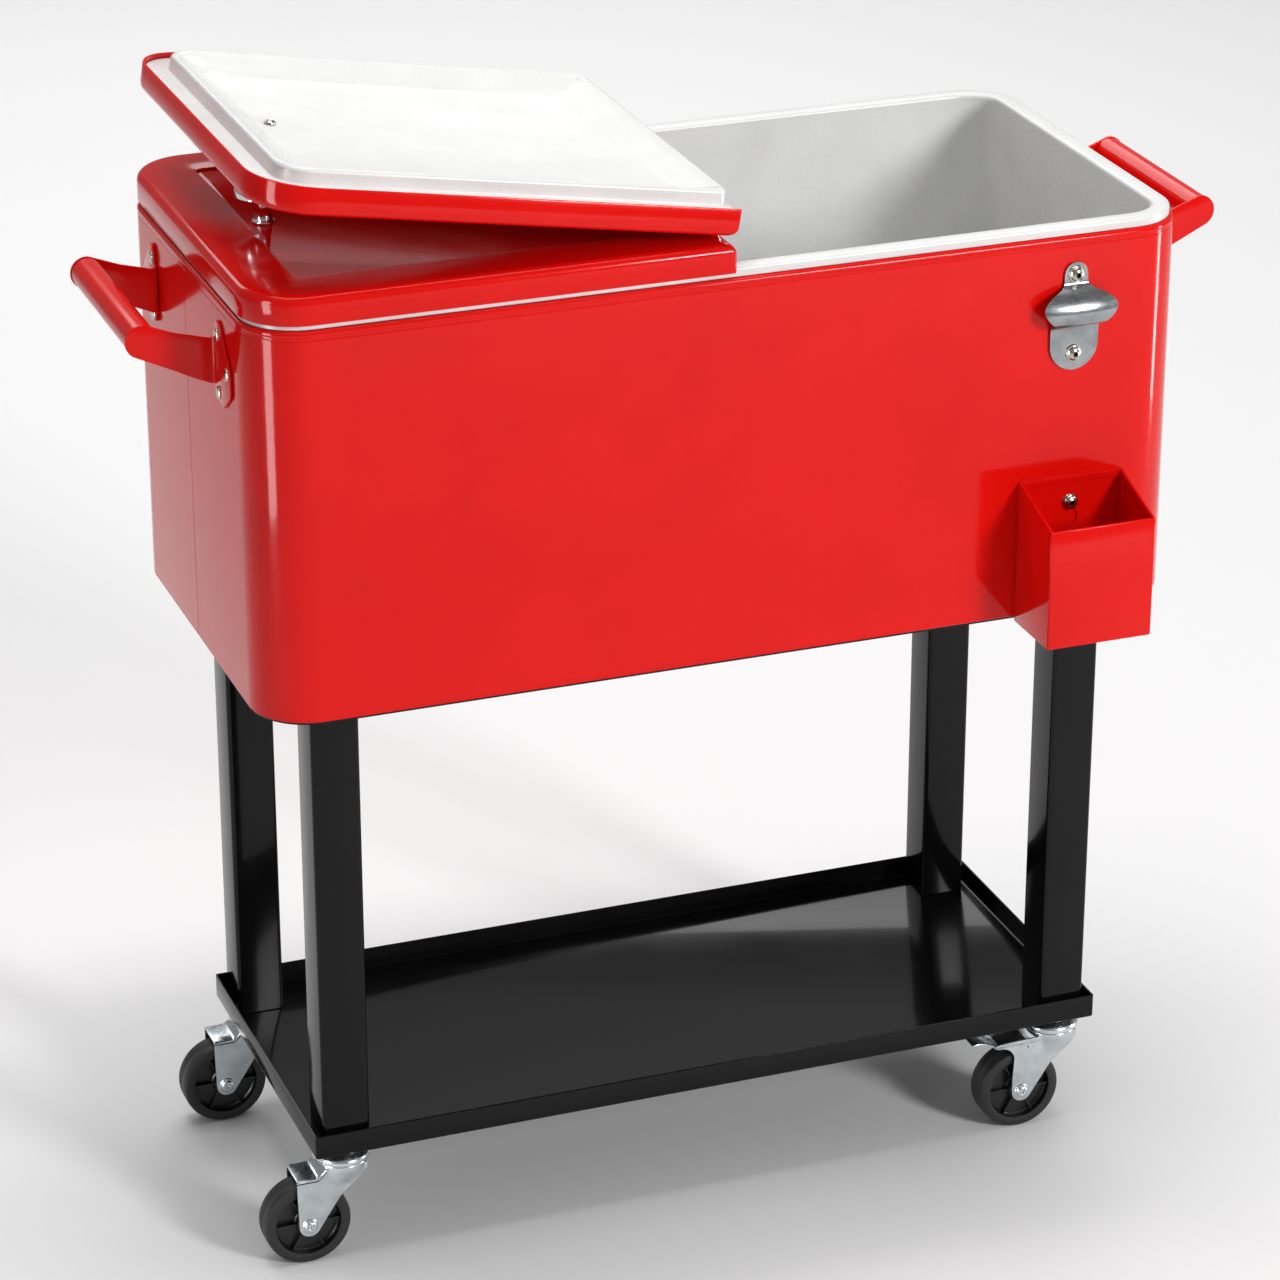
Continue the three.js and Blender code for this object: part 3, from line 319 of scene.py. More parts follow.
def rounded_profile(points, radius, steps=4):
    """A profile of (radius, height) whose inner corners are rounded."""
    out = [points[0]]
    for before, here, after in zip(points, points[1:], points[2:]):
        p, q, r = Vector(before), Vector(here), Vector(after)
        reach = min(radius, (p - q).length * 0.45, (r - q).length * 0.45)
        start, end = q + (p - q).normalized() * reach, q + (r - q).normalized() * reach
        for i in range(steps + 1):
            t = i / steps
            out.append(tuple(start * (1 - t) ** 2 + q * 2 * t * (1 - t) + end * t * t))
    return out + [points[-1]]


def plate(work, outline, thickness, to_space):
    """A flat plate from an outline of (u, v); to_space(u, v, w) places it, w from 0 to thickness."""
    for w in (0, 1):
        verts = [work.verts.new(to_space(u, v, w * thickness)) for u, v in outline]
        if w == 0:
            low = verts
        else:
            for i in range(len(verts)):
                j = (i + 1) % len(verts)
                work.faces.new((low[i], low[j], verts[j], verts[i]))
        work.faces.new(verts)


def softened(piece, width, segments=3, angle=30):
    """Rounds a piece's sharp edges with a bevel."""
    bevel = piece.modifiers.new("rounding", "BEVEL")
    bevel.width = width
    bevel.segments = segments
    bevel.limit_method = "ANGLE"
    bevel.angle_limit = math.radians(angle)
    bevel.harden_normals = False
    return piece


def walled(piece, thickness, offset=0):
    """Gives a surface its sheet thickness: half to each side, or with offset -1 all of it inwards."""
    wall = piece.modifiers.new("wall", "SOLIDIFY")
    wall.thickness = thickness
    wall.offset = offset
    return piece


def recalc_outwards(piece):
    work = bmesh.new()
    work.from_mesh(piece.data)
    bmesh.ops.recalc_face_normals(work, faces=work.faces)
    work.to_mesh(piece.data)
    work.free()


def sliced(work, axis, places, merge):
    """Cuts new edges through a mesh at each place along an axis, so that it can bend there."""
    for place in places:
        geometry = work.verts[:] + work.edges[:] + work.faces[:]
        bmesh.ops.bisect_plane(work, geom=geometry, plane_co=axis * place, plane_no=axis, dist=merge)


def join_pieces(parts, name):
    """One object from several, with each part's material kept."""
    with bpy.context.temp_override(active_object=parts[0], selected_editable_objects=parts):
        bpy.ops.object.join()
    parts[0].name = name
    parts[0].data.name = name
    return parts[0]


def cut_by(piece, *tools):
    """Cuts closed tool objects out of a piece and removes them."""
    for tool in tools:
        cut = piece.modifiers.new("cut", "BOOLEAN")
        cut.operation = "DIFFERENCE"
        cut.solver = "EXACT"
        cut.object = tool
    graph = bpy.context.evaluated_depsgraph_get()
    mesh = bpy.data.meshes.new_from_object(piece.evaluated_get(graph))
    piece.modifiers.clear()
    piece.data = mesh
    for tool in tools:
        bpy.data.objects.remove(tool)
    return piece


def placed(piece, matrix):
    """Moves a piece's mesh, so that its object stays at the origin."""
    piece.data.transform(matrix)
    if matrix.determinant() < 0:
        piece.data.flip_normals()
    return piece


def finish_piece(piece, body, slot, *nodes):
    """Says which body a piece rides on and hides the nodes that it stands for; slot is not used."""
    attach(piece, body)
    if nodes:
        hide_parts(*nodes)
    return piece


def copied(piece, name, matrix):
    """A copy of a finished shape, with its own mesh, moved into place."""
    mesh = piece.data.copy()
    copy = bpy.data.objects.new(name, mesh)
    mesh.name = name
    bpy.context.scene.collection.objects.link(copy)
    return placed(copy, matrix)


# ---------------------------------------------------------------- repeated features as Geometry Nodes
def repeat_tree(name, inputs, build):
    """A geometry node tree with named inputs. build(tree, inputs) returns the geometry."""
    tree = bpy.data.node_groups.new(name, "GeometryNodeTree")
    face = tree.interface
    face.new_socket("Geometry", in_out="INPUT", socket_type="NodeSocketGeometry")
    for label, (kind, value) in inputs.items():
        socket = face.new_socket(label, in_out="INPUT", socket_type=kind)
        if value is not None:
            socket.default_value = value
    face.new_socket("Geometry", in_out="OUTPUT", socket_type="NodeSocketGeometry")
    source = add_node(tree, "NodeGroupInput")
    made = build(tree, source.outputs)
    real = add_node(tree, "GeometryNodeRealizeInstances", None, {"Geometry": made})
    dressed = add_node(
        tree,
        "GeometryNodeSetMaterial",
        None,
        {"Geometry": real.outputs[0], "Material": source.outputs["Material"]},
    )
    add_node(tree, "NodeGroupOutput", None, {"Geometry": dressed.outputs[0]})
    return tree


def grown(tree, base, name, paint, **values):
    """Runs a repeat tree on a base mesh object and returns the result as a plain mesh object."""
    modifier = base.modifiers.new("repeat", "NODES")
    modifier.node_group = tree
    sockets = {
        item.name: item.identifier
        for item in tree.interface.items_tree
        if item.in_out == "INPUT" and item.name != "Geometry"
    }
    for label, value in values.items():
        modifier[sockets[label.replace("_", " ")]] = value
    modifier[sockets["Material"]] = paint
    graph = bpy.context.evaluated_depsgraph_get()
    mesh = bpy.data.meshes.new_from_object(base.evaluated_get(graph))
    mesh.name = name
    base.modifiers.clear()
    bpy.data.objects.remove(base)
    piece = bpy.data.objects.new(name, mesh)
    bpy.context.scene.collection.objects.link(piece)
    return piece


def ring_of_copies(tree, source):
    """Copies of the base mesh turned about the Z axis, Count of them in a full circle."""
    count = source["Count"]
    line = add_node(
        tree,
        "GeometryNodeMeshLine",
        None,
        {"Count": count, "Start Location": (0, 0, 0), "Offset": (0, 0, 0)},
    )
    index = add_node(tree, "GeometryNodeInputIndex")
    step = add_node(tree, "ShaderNodeMath", {"operation": "DIVIDE"}, {0: 2 * math.pi, 1: count})
    angle = add_node(
        tree, "ShaderNodeMath", {"operation": "MULTIPLY"}, {0: index.outputs[0], 1: step.outputs[0]}
    )
    turn = add_node(tree, "ShaderNodeCombineXYZ", None, {"Z": angle.outputs[0]})
    copies = add_node(
        tree,
        "GeometryNodeInstanceOnPoints",
        None,
        {"Points": line.outputs[0], "Instance": source["Geometry"], "Rotation": turn.outputs[0]},
    )
    return copies.outputs[0]


def rivets_on_points(tree, source):
    """A pan head on each vertex of the base mesh: a short drum under a flattened dome, both along X."""
    drum = add_node(
        tree,
        "GeometryNodeMeshCylinder",
        None,
        {"Vertices": 24, "Radius": source["Radius"], "Depth": source["Drum Height"]},
    )
    dome = add_node(
        tree, "GeometryNodeMeshUVSphere", None, {"Segments": 24, "Rings": 12, "Radius": source["Radius"]}
    )
    share = add_node(
        tree, "ShaderNodeMath", {"operation": "DIVIDE"}, {0: source["Dome Height"], 1: source["Radius"]}
    )
    flat = add_node(tree, "ShaderNodeCombineXYZ", None, {"X": 1.0, "Y": 1.0, "Z": share.outputs[0]})
    half = add_node(
        tree, "ShaderNodeMath", {"operation": "DIVIDE"}, {0: source["Drum Height"], 1: 2.0}
    )
    lift = add_node(tree, "ShaderNodeCombineXYZ", None, {"Z": half.outputs[0]})
    cap = add_node(
        tree,
        "GeometryNodeTransform",
        None,
        {"Geometry": dome.outputs[0], "Scale": flat.outputs[0], "Translation": lift.outputs[0]},
    )
    head = add_node(tree, "GeometryNodeJoinGeometry")
    tree.links.new(drum.outputs[0], head.inputs[0])
    tree.links.new(cap.outputs[0], head.inputs[0])
    smooth = add_node(tree, "GeometryNodeSetShadeSmooth", None, {"Geometry": head.outputs[0]})
    copies = add_node(
        tree,
        "GeometryNodeInstanceOnPoints",
        None,
        {"Points": source["Geometry"], "Instance": smooth.outputs[0], "Rotation": (0, QUARTER, 0)},
    )
    return copies.outputs[0]


RING_TREE = repeat_tree(
    "copies_round_an_axis",
    {"Count": ("NodeSocketInt", 6), "Material": ("NodeSocketMaterial", None)},
    ring_of_copies,
)
RIVET_TREE = repeat_tree(
    "pan_head_rivets",
    {
        "Radius": ("NodeSocketFloat", 4 * MM),
        "Drum Height": ("NodeSocketFloat", 1 * MM),
        "Dome Height": ("NodeSocketFloat", 1.6 * MM),
        "Material": ("NodeSocketMaterial", None),
    },
    rivets_on_points,
)


# ---------------------------------------------------------------- camera, floor and lights
VIEW_AZIMUTH = math.radians(-20.51)
VIEW_ELEVATION = math.radians(23.84)
CAMERA_PLACE = (-1.1668, -3.0584, 1.8885)
FLOOR_REACH = 12.0  # middle to each edge


def stand_camera():
    """The camera stands in front and to the left, a little above, and looks down at the cooler."""
    azimuth, elevation = VIEW_AZIMUTH, VIEW_ELEVATION
    level = math.cos(elevation)
    back = Vector((math.sin(azimuth) * level, -math.cos(azimuth) * level, math.sin(elevation)))
    data = bpy.data.cameras.new("camera")
    data.lens = 127.4
    data.sensor_width = 36
    camera = bpy.data.objects.new("camera", data)
    camera.location = CAMERA_PLACE
    camera.rotation_euler = (-back).to_track_quat("-Z", "Y").to_euler()
    bpy.context.scene.collection.objects.link(camera)
    bpy.context.scene.camera = camera


def lay_floor():
    """A plain pale floor under the wheels."""
    work = bmesh.new()
    reach = FLOOR_REACH
    corners = [(-reach, -reach), (reach, -reach), (reach, reach), (-reach, reach)]
    work.faces.new([work.verts.new((x, y, 0)) for x, y in corners])
    floor = new_piece("floor", work)

    def dress(tree, place):
        cloud = grains(tree, place, 0.5)
        return {"Roughness": between(tree, cloud, 0.75, 0.85)}

    floor.data.materials.append(material("pale_floor", dress, Base_Color=linear("#F2F2F2")))


def hang_light(name, place, target, size, power, only_shine=False):
    """A soft box that faces its target; only_shine keeps it to reflections."""
    data = bpy.data.lights.new(name, "AREA")
    data.shape = "RECTANGLE"
    data.size, data.size_y = size
    data.energy = power
    light = bpy.data.objects.new(name, data)
    light.location = place
    light.visible_diffuse = not only_shine
    light.rotation_euler = (Vector(target) - Vector(place)).to_track_quat("-Z", "Y").to_euler()
    bpy.context.scene.collection.objects.link(light)


def light_studio():
    """A pale surround, a soft key, soft boxes above and behind, and two strips that edge the corners."""
    world = bpy.data.worlds.new("studio")
    world.use_nodes = True
    backdrop = world.node_tree.nodes["Background"]
    backdrop.inputs["Color"].default_value = linear("#FFFFFF")
    backdrop.inputs["Strength"].default_value = 0.28
    bpy.context.scene.world = world
    bpy.context.scene.view_settings.view_transform = "Standard"
    chest = (0, 0, 0.55)
    hang_light("softbox_front", (2.2, -4.4, 2.4), chest, (0.9, 1.2), 150)
    hang_light("strip_left", (-1.7, -0.6, 0.75), (0, -0.1, 0.7), (0.4, 1.5), 26, only_shine=True)
    hang_light("strip_right", (1.9, -0.5, 0.75), (0, -0.1, 0.7), (0.16, 1.5), 20, only_shine=True)
    hang_light("softbox_top", (0, 0.2, 4.6), chest, (3.0, 2.4), 105)
    hang_light("softbox_back", (0.4, 3.4, 2.8), (0.2, 2.2, 0), (4.0, 1.2), 50)


# ---------------------------------------------------------------- chest
def shell_path(inset, front):
    """The chest's outline moved in by inset, from seam to seam round the front or the back."""
    x0, x1 = -HALF_LENGTH + inset, HALF_LENGTH - inset
    y0, y1 = MID_Y - HALF_WIDTH + inset, MID_Y + HALF_WIDTH - inset
    radius = CORNER - inset
    steps = 14
    edge = SEAM_Y + (-SEAM_GAP / 2 if front else SEAM_GAP / 2)
    if front:
        bends = arc(x0 + radius, y0 + radius, radius, 180, 270, steps)
        bends += arc(x1 - radius, y0 + radius, radius, 270, 360, steps)
        return [(x0, edge)] + bends + [(x1, edge)]
    bends = arc(x1 - radius, y1 - radius, radius, 0, 90, steps)
    bends += arc(x0 + radius, y1 - radius, radius, 90, 180, steps)
    return [(x1, edge)] + bends + [(x0, edge)]


def shell_profile():
    """The sheet's section as (inset, height from the rim): hem, wall, groove, rolled bead and top flange."""
    bottom = (shell_low.z - RIM_Z) / MM
    outer = [(1.2, bottom), (0.4, bottom), (0.1, bottom + 0.25), (0, bottom + 0.8)]
    outer += [(0, -8), (0.05, -7.4), (0.2, -7.1), (0.2, -6.8), (0.05, -6.5)]
    bead_radius = 2.9
    bead = arc(2.7, -bead_radius, bead_radius, 216, 96, 10)
    inner = [(9, 0), (9, -1), (3.4, -1), (2.2, -3), (2.2, -7.6), (1.2, -9)]
    return outer + bead + inner


def make_shell(front):
    """The front or back half of the painted shell."""
    name = "shell_front" if front else "shell_back"
    work = bmesh.new()
    paths = [(shell_path(i * MM, front), RIM_Z + h * MM) for i, h in shell_profile()]
    rings = [[(x, y, z) for x, y in path] for path, z in paths]
    rows = loft(work, rings, closed=False, wrap=True)
    work.faces.new([row[0] for row in rows])
    work.faces.new([row[-1] for row in rows])
    piece = new_piece(name + "_sheet", work)
    if not front:
        cut_by(piece, drain_cutter(10 * MM))
    settle(piece, RED)
    finish_piece(piece, "chest", "red_paint", name)


def drain_place():
    """The drain's axis where it crosses the middle plane."""
    low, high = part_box("drain_spout")
    return Vector((0, (low.y + high.y) / 2, (low.z + high.z) / 2))


def drain_cutter(radius):
    """A rod that cuts the drain's hole through the right end."""
    work = bmesh.new()
    start, end = HALF_LENGTH - 40 * MM, HALF_LENGTH + 10 * MM
    turned(work, [(0, start), (radius, start), (radius, end), (0, end)], drain_place(), "x", 40)
    return new_piece("drain_cutter", work)


def chest_ring(inset, z, radius):
    """A closed outline of the chest moved in by inset, with its own corner radius."""
    x0, x1 = -HALF_LENGTH + inset, HALF_LENGTH - inset
    y0, y1 = MID_Y - HALF_WIDTH + inset, MID_Y + HALF_WIDTH - inset
    return [(x, y, z) for x, y in rounded(x0, x1, y0, y1, max(radius, 2 * MM), 14)]


def make_tub():
    """The tub with its flange: the flange's edge is rolled, and the floor meets the walls in a round."""
    rise = (tub_high.z - RIM_Z) / MM
    wall, edge_round, lip_round, floor_round = 2.5, 2.4, 3.2, 17.5
    under = (tub_low.z - RIM_Z) / MM
    floor = under + wall
    section = [(OPENING - wall, under), (OPENING - wall, 0.4), (3.4, 0.4), (3, 0.8)]
    section += arc(3 + edge_round, rise - edge_round, edge_round, 180, 90, 6)
    section += arc(OPENING - lip_round, rise - lip_round, lip_round, 90, 0, 6)
    section += arc(OPENING + floor_round, floor + floor_round, floor_round, 180, 270, 9)
    work = bmesh.new()
    rings = [chest_ring(i * MM, RIM_Z + h * MM, CORNER - i * MM) for i, h in section]
    loft(work, rings, cap_start=True, cap_end=True)
    piece = cut_by(new_piece("tub_liner_sheet", work), drain_cutter(9.6 * MM))
    settle(piece, WHITE)
    finish_piece(piece, "chest", "white_liner", "tub_liner")


def make_pan():
    """The black bottom pan, with its edges broken."""
    low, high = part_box("bottom_pan")
    thick = (high.z - low.z) / MM
    profile = [(1.6, 0), (0.4, 0.4), (0, 1.2), (0, thick - 0.4), (0.4, thick)]
    work = bmesh.new()
    base = 2 * MM
    rings = [chest_ring(base + i * MM, low.z + h * MM, CORNER - base - i * MM) for i, h in profile]
    loft(work, rings, cap_start=True, cap_end=True)
    piece = settle(new_piece("bottom_pan_sheet", work), BLACK)
    finish_piece(piece, "chest", "black_paint", "bottom_pan")


def make_chest():
    make_shell(True)
    make_shell(False)
    make_tub()
    make_pan()
    for name in ("foam_insulation", "left_lid_foam", "right_lid_foam"):
        node = frame["nodes"][name]
        node.data.materials.clear()
        node.data.materials.append(FOAM)


# ---------------------------------------------------------------- lids
LID_FACE = 0.5  # mm, a lid's face inside the chest's
LID_GAP = 1.6  # mm, a lid's end wall to the hinge axis
PANEL_INSET = 45
PANEL_DEPTH = 2.5
LID_TOP = lid_high.z
LID_DEPTH = (lid_high.z - lid_low.z) / MM
LINER_RISE = 4  # mm, the liner's flange above the lid's lower edge


END_WALL_RISE = 6.1  # mm, from the lid's lower edge to the end wall, which clears the tub's flange


def lid_ring(inset, height, far_radius, hinge_radius, hinge_inset=None):
    """An outline of the left lid, inset in mm from its own face; height in mm from the lid's top."""
    x0 = -HALF_LENGTH + (LID_FACE + inset) * MM
    x1 = -(LID_GAP + (inset if hinge_inset is None else hinge_inset)) * MM
    y0 = MID_Y - HALF_WIDTH + (LID_FACE + inset) * MM
    y1 = 2 * MID_Y - y0
    radii = [max(r, 0.4) * MM for r in (far_radius, hinge_radius, hinge_radius, far_radius)]
    return [(x, y, LID_TOP + height * MM) for x, y in rounded(x0, x1, y0, y1, radii, 12)]


def lid_places():
    """Where each lid goes: the left as drawn, the right turned half round the upright and folded back."""
    to_axis = Matrix.Translation(-hinge)
    half_turn = Matrix.Rotation(math.pi, 4, "Z")
    fold = Matrix.Rotation(-fold_angle, 4, "Y")
    return {"left": Matrix.Identity(4), "right": to_axis.inverted() @ fold @ half_turn @ to_axis}


def lid_shell_mesh():
    """A drawn sheet with a rolled top edge, a recessed panel and a hem turned in along its skirt."""
    radius = CORNER / MM - LID_FACE
    work = bmesh.new()
    rings = []

    def ring(inset, height, hinge_radius=2.5):
        rings.append(lid_ring(inset, height, radius - inset, max(hinge_radius - inset * 0.2, 1.0)))

    low = -LID_DEPTH
    ring(1.3, low + 3.4)
    ring(1.9, low + 3.2)
    ring(2.0, low + 0.4)
    ring(1.7, low)
    ring(1.3, low)
    ring(1.05, low + 0.3)
    ring(0.8, low)
    ring(0.35, low + 0.05)
    ring(0, low + 0.6)
    edge_round, edge_steps = 7, 8
    for i in range(edge_steps + 1):
        a = QUARTER * i / edge_steps
        ring(edge_round * (1 - math.cos(a)), -edge_round * (1 - math.sin(a)), 2.5 + 3 * i / edge_steps)
    panel = PANEL_INSET - LID_FACE
    corner = 5.5
    for inset, height in ((-0.8, 0), (-0.3, -0.12), (0, -0.5), (0.1, -1.6), (0.4, -2.2), (1.0, -PANEL_DEPTH)):
        rings.append(lid_ring(panel + inset, height, corner - inset, corner - inset,
                              PANEL_INSET - LID_GAP + inset))
    loft(work, rings, cap_end=True)
    inside = []
    for inset, height in ((1.3, low + 3.4), (1.3, -7), (3, -2.6), (7, -1.2)):
        inside.append(lid_ring(inset, height, radius - inset, 2))
    sheet = 1.2
    for height in (-sheet, -PANEL_DEPTH - sheet):
        inside.append(lid_ring(panel - sheet, height, corner + sheet, corner + sheet,
                               PANEL_INSET - LID_GAP - sheet))
    loft(work, inside, cap_end=True)
    # the end wall at the hinge stops above the tub's flange
    clear = LID_TOP + (low + END_WALL_RISE) * MM
    for v in work.verts:
        if v.co.x > -(LID_GAP + 4) * MM and abs(v.co.y - MID_Y) < HALF_WIDTH - (LID_FACE + 1.5) * MM:
            v.co.z = max(v.co.z, clear)
    return work


def lid_liner_mesh():
    """The white liner: a flat flange, a raised ridge that drops into the tub, and a dished floor."""
    radius = CORNER / MM - LID_FACE
    low = -LID_DEPTH + LINER_RISE
    depth = 12
    outer = OPENING - LID_FACE + 3
    near_side = 5 - LID_GAP
    work = bmesh.new()
    rings = []

    def ring(inset, height, far, near, hinge_inset):
        rings.append(lid_ring(inset, height, far, near, hinge_inset))

    ring(2.2, low + 2, radius - 2.2, 1.5, 0.1)
    ring(2.0, low + 0.6, radius - 2.0, 1.5, 0)
    ring(2.6, low, radius - 2.6, 1.5, 0.6)
    ring(outer - 1.4, low, radius - outer + 1.4, 9, near_side - 0.6)
    ring(outer - 0.4, low - 0.4, radius - outer + 0.4, 8.4, near_side - 0.1)
    ring(outer, low - 1.6, radius - outer, 8, near_side)
    ring(outer + 0.5, low - depth + 3, radius - outer - 0.5, 8, near_side + 0.5)
    # over the ridge
    ridge_steps, ridge_turn = 6, math.radians(180 * 0.86)
    for i in range(ridge_steps + 1):
        a = math.pi - ridge_turn * i / ridge_steps
        along = 3.6 + 3.1 * math.cos(a)
        ring(outer + along, low - depth + 3 - 3 * math.sin(a), radius - outer - 2, 8, near_side + along)
    # up the slope to the dished floor
    slope = 18
    for share in (0.3, 0.7):
        along = 7.4 + slope * share
        ring(outer + along, low - depth * (1 - share) * 0.82 - 0.8, radius - outer - 2, 10,
             near_side + along)
    floor_steps, floor_round = 4, 7
    for i in range(floor_steps + 1):
        rise = math.sin(QUARTER * i / floor_steps)
        along = 22 + floor_round * rise
        ring(outer + along, low + 0.4 - 3.0 * (1 - rise), radius - outer - 6, 12, near_side + along)
    loft(work, rings, cap_start=True, cap_end=True)
    return work


def knob_profile():
    """The knob from its base ring up the flared neck to the chamfered cap."""
    return rounded_profile(
        [(0, 0), (8.5, 0), (8.7, 1.6), (7.2, 2.8), (6.8, 6), (6.9, 9), (8.2, 13), (11.5, 17),
         (17.2, 19.6), (20.4, 20.4), (21, 21.6), (21, 26.2), (19.4, 28), (15.6, 28), (14.8, 27.5), (0, 27.3)],
        0.8, 3,
    )


def make_lid(side, place):
    """A lid's shell, liner, knob and knob screw, drawn as the left lid's and put in place."""
    body = side + "_lid"
    shell = settle(new_piece(f"{side}_lid_sheet", lid_shell_mesh()), RED)
    finish_piece(placed(shell, place), body, "red_paint", f"{side}_lid_shell")

    liner = new_piece(f"{side}_lid_liner_sheet", lid_liner_mesh())
    liner.data.materials.append(WHITE)
    liner.data.materials.append(GRAINED)
    settle(liner, WHITE)
    for face in liner.data.polygons:
        dish = face.center.z > LID_TOP - (LID_DEPTH - LINER_RISE) * MM - 0.7 * MM
        if len(face.vertices) > 4 and dish and face.normal.z < 0:
            face.material_index = 1
    finish_piece(placed(liner, place), body, "white_liner", f"{side}_lid_liner")

    low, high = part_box("left_knob")
    foot = Vector(((low.x + high.x) / 2, MID_Y, low.z))
    knob = turned_piece(f"{side}_knob_turned", knob_profile(), CHROME, centre=foot, segments=72)
    finish_piece(placed(knob, place), body, "chrome_knob", f"{side}_knob")

    low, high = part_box("left_knob_screw")
    length = (high.z - low.z) / MM
    profile = [(0, 1.4), (1.1, 1.4), (1.3, 0.2), (2.8, 0), (4.2, 0.9), (4.6, 2.2), (2, 2.4), (2, length),
               (0, length)]
    seat = Vector((foot.x, MID_Y, low.z))
    screw = turned_piece(f"{side}_knob_screw_turned", profile, NICKEL, centre=seat, segments=32)
    finish_piece(placed(screw, place), body, "stainless_steel", f"{side}_knob_screw")


def make_hinge_leaf(side, place, first):
    """A leaf with every second knuckle of the centre hinge."""
    low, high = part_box("hinge_leaf_left")
    knuckles = 7
    pitch = (high.y - low.y) / knuckles
    bore, barrel, knuckle_gap = 1.0 * MM, 1.8 * MM, 0.2 * MM
    work = bmesh.new()
    x0, x1 = hinge.x - 1.3 * MM, hinge.x - 0.35 * MM
    outline = [(low.y, low.z), (high.y, low.z), (high.y, hinge.z - 1 * MM), (low.y, hinge.z - 1 * MM)]
    plate(work, outline, x1 - x0, lambda u, v, w: (x0 + w, u, v))
    for k in range(first, knuckles, 2):
        start, end = k * pitch + knuckle_gap, (k + 1) * pitch - knuckle_gap
        profile = [(bore, start), (barrel - 0.2 * MM, start), (barrel, start + 0.2 * MM), (barrel, end),
                   (bore, end), (bore, start)]
        turned(work, profile, (hinge.x, low.y, hinge.z), "y", 20)
    piece = settle(new_piece(f"hinge_leaf_{side}_rolled", work), STAINLESS)
    finish_piece(placed(piece, place), f"{side}_lid", "stainless_steel", f"hinge_leaf_{side}")


def make_hinge_pin():
    """The pin through all the knuckles, with its ends chamfered."""
    low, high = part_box("hinge_pin")
    length = (high.y - low.y) / MM
    profile = [(0, 0), (0.7, 0), (0.9, 0.2), (0.9, length - 0.2), (0.7, length), (0, length)]
    pin = turned_piece("hinge_pin_drawn", profile, STAINLESS, centre=(hinge.x, low.y, hinge.z), axis="y",
                       segments=20)
    finish_piece(pin, "left_lid", "stainless_steel", "hinge_pin")


def make_lids():
    for side, place in lid_places().items():
        make_lid(side, place)
        make_hinge_leaf(side, place, 0 if side == "left" else 1)
    make_hinge_pin()


# ---------------------------------------------------------------- handles
ARM_FACE = 82 * MM  # middle plane to an arm's outer face
ARM_REACH = 55 * MM  # chest to the grip's axis
GRIP_RISE = 25.5  # mm, the grip's axis above the arm's level
ARM_LEVEL = 32 * MM  # the arm's level above its flange's foot


def arm_pattern(reach, rise):
    """The flat strip of an arm before it is bent, as (s, z) in mm: s runs from the eye to the flange."""
    eye, low, high = 12.8, -12.5, 22.5
    bend = 4.7
    points = arc(-reach, rise, eye, 82, 250, 16)
    lower = [(-reach * 0.55, 0.4), (-reach * 0.25, -7.5), (-1, low)]
    flange = [(bend + 0.6, low - 0.8), (bend + 3, -22), (bend + 18, -25.5), (bend + 36.5, -12),
              (bend + 38.3, -8), (bend + 38.3, 6), (bend + 37.3, 9.5), (bend + 13, 37), (bend + 9, 39),
              (bend + 4.5, 38), (bend + 2, 34.5), (bend + 0.6, high + 1.4)]
    upper = [(-1, high), (-reach * 0.5, 29)]
    return points + lower + flange + upper


def make_arm(side, end):
    """An arm bent from strip: the flange lies on the chest and turns away from the middle."""
    node = f"handle_{side}_{end}_arm"
    face = HALF_LENGTH + GAP
    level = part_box(node)[0].z + ARM_LEVEL
    bend_radius = 3 * MM
    reach = ARM_REACH - bend_radius - STRIP / 2
    pattern = in_metres(arm_pattern(reach / MM, GRIP_RISE))
    work = bmesh.new()
    work.faces.new([work.verts.new((s, 0, z)) for s, z in pattern])
    steps = 8
    sliced(work, Vector((1, 0, 0)), [bend_radius * QUARTER * i / steps for i in range(steps + 1)], 1e-7)
    turn_x, turn_y = face + STRIP / 2 + bend_radius, ARM_FACE - STRIP / 2 + bend_radius
    for v in work.verts:
        s = v.co.x
        angle = min(max(s / bend_radius, 0), QUARTER)
        x = turn_x - bend_radius * math.sin(angle) - min(s, 0)
        y = turn_y - bend_radius * math.cos(angle) + max(s - bend_radius * QUARTER, 0)
        v.co = (x, y, v.co.z + level)
    piece = walled(new_piece(node + "_strip", work, recalc=False), STRIP)
    softened(piece, 0.5 * MM, 3, 40)
    settle(piece, RED)
    recalc_outwards(piece)
    mirror = Matrix.Diagonal((1 if side == "right" else -1, 1 if end == "back" else -1, 1, 1))
    placed(piece, Matrix.Translation((0, MID_Y, 0)) @ mirror)
    finish_piece(piece, "chest", "red_paint", node)


def make_grip(side):
    """The tube between a handle's two arms."""
    low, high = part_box(f"handle_{side}_grip")
    radius = (high.z - low.z) / 2 / MM
    centre = Vector(((low.x + high.x) / 2, low.y, (low.z + high.z) / 2))
    length = (high.y - low.y) / MM
    wall = 1.5
    profile = [(radius - wall, 0), (radius - 0.5, 0), (radius, 0.5), (radius, length - 0.5),
               (radius - 0.5, length), (radius - wall, length), (radius - wall, 0)]
    grip = turned_piece(f"handle_{side}_grip_tube", profile, RED, centre=centre, axis="y", segments=56)
    finish_piece(grip, "chest", "red_paint", f"handle_{side}_grip")


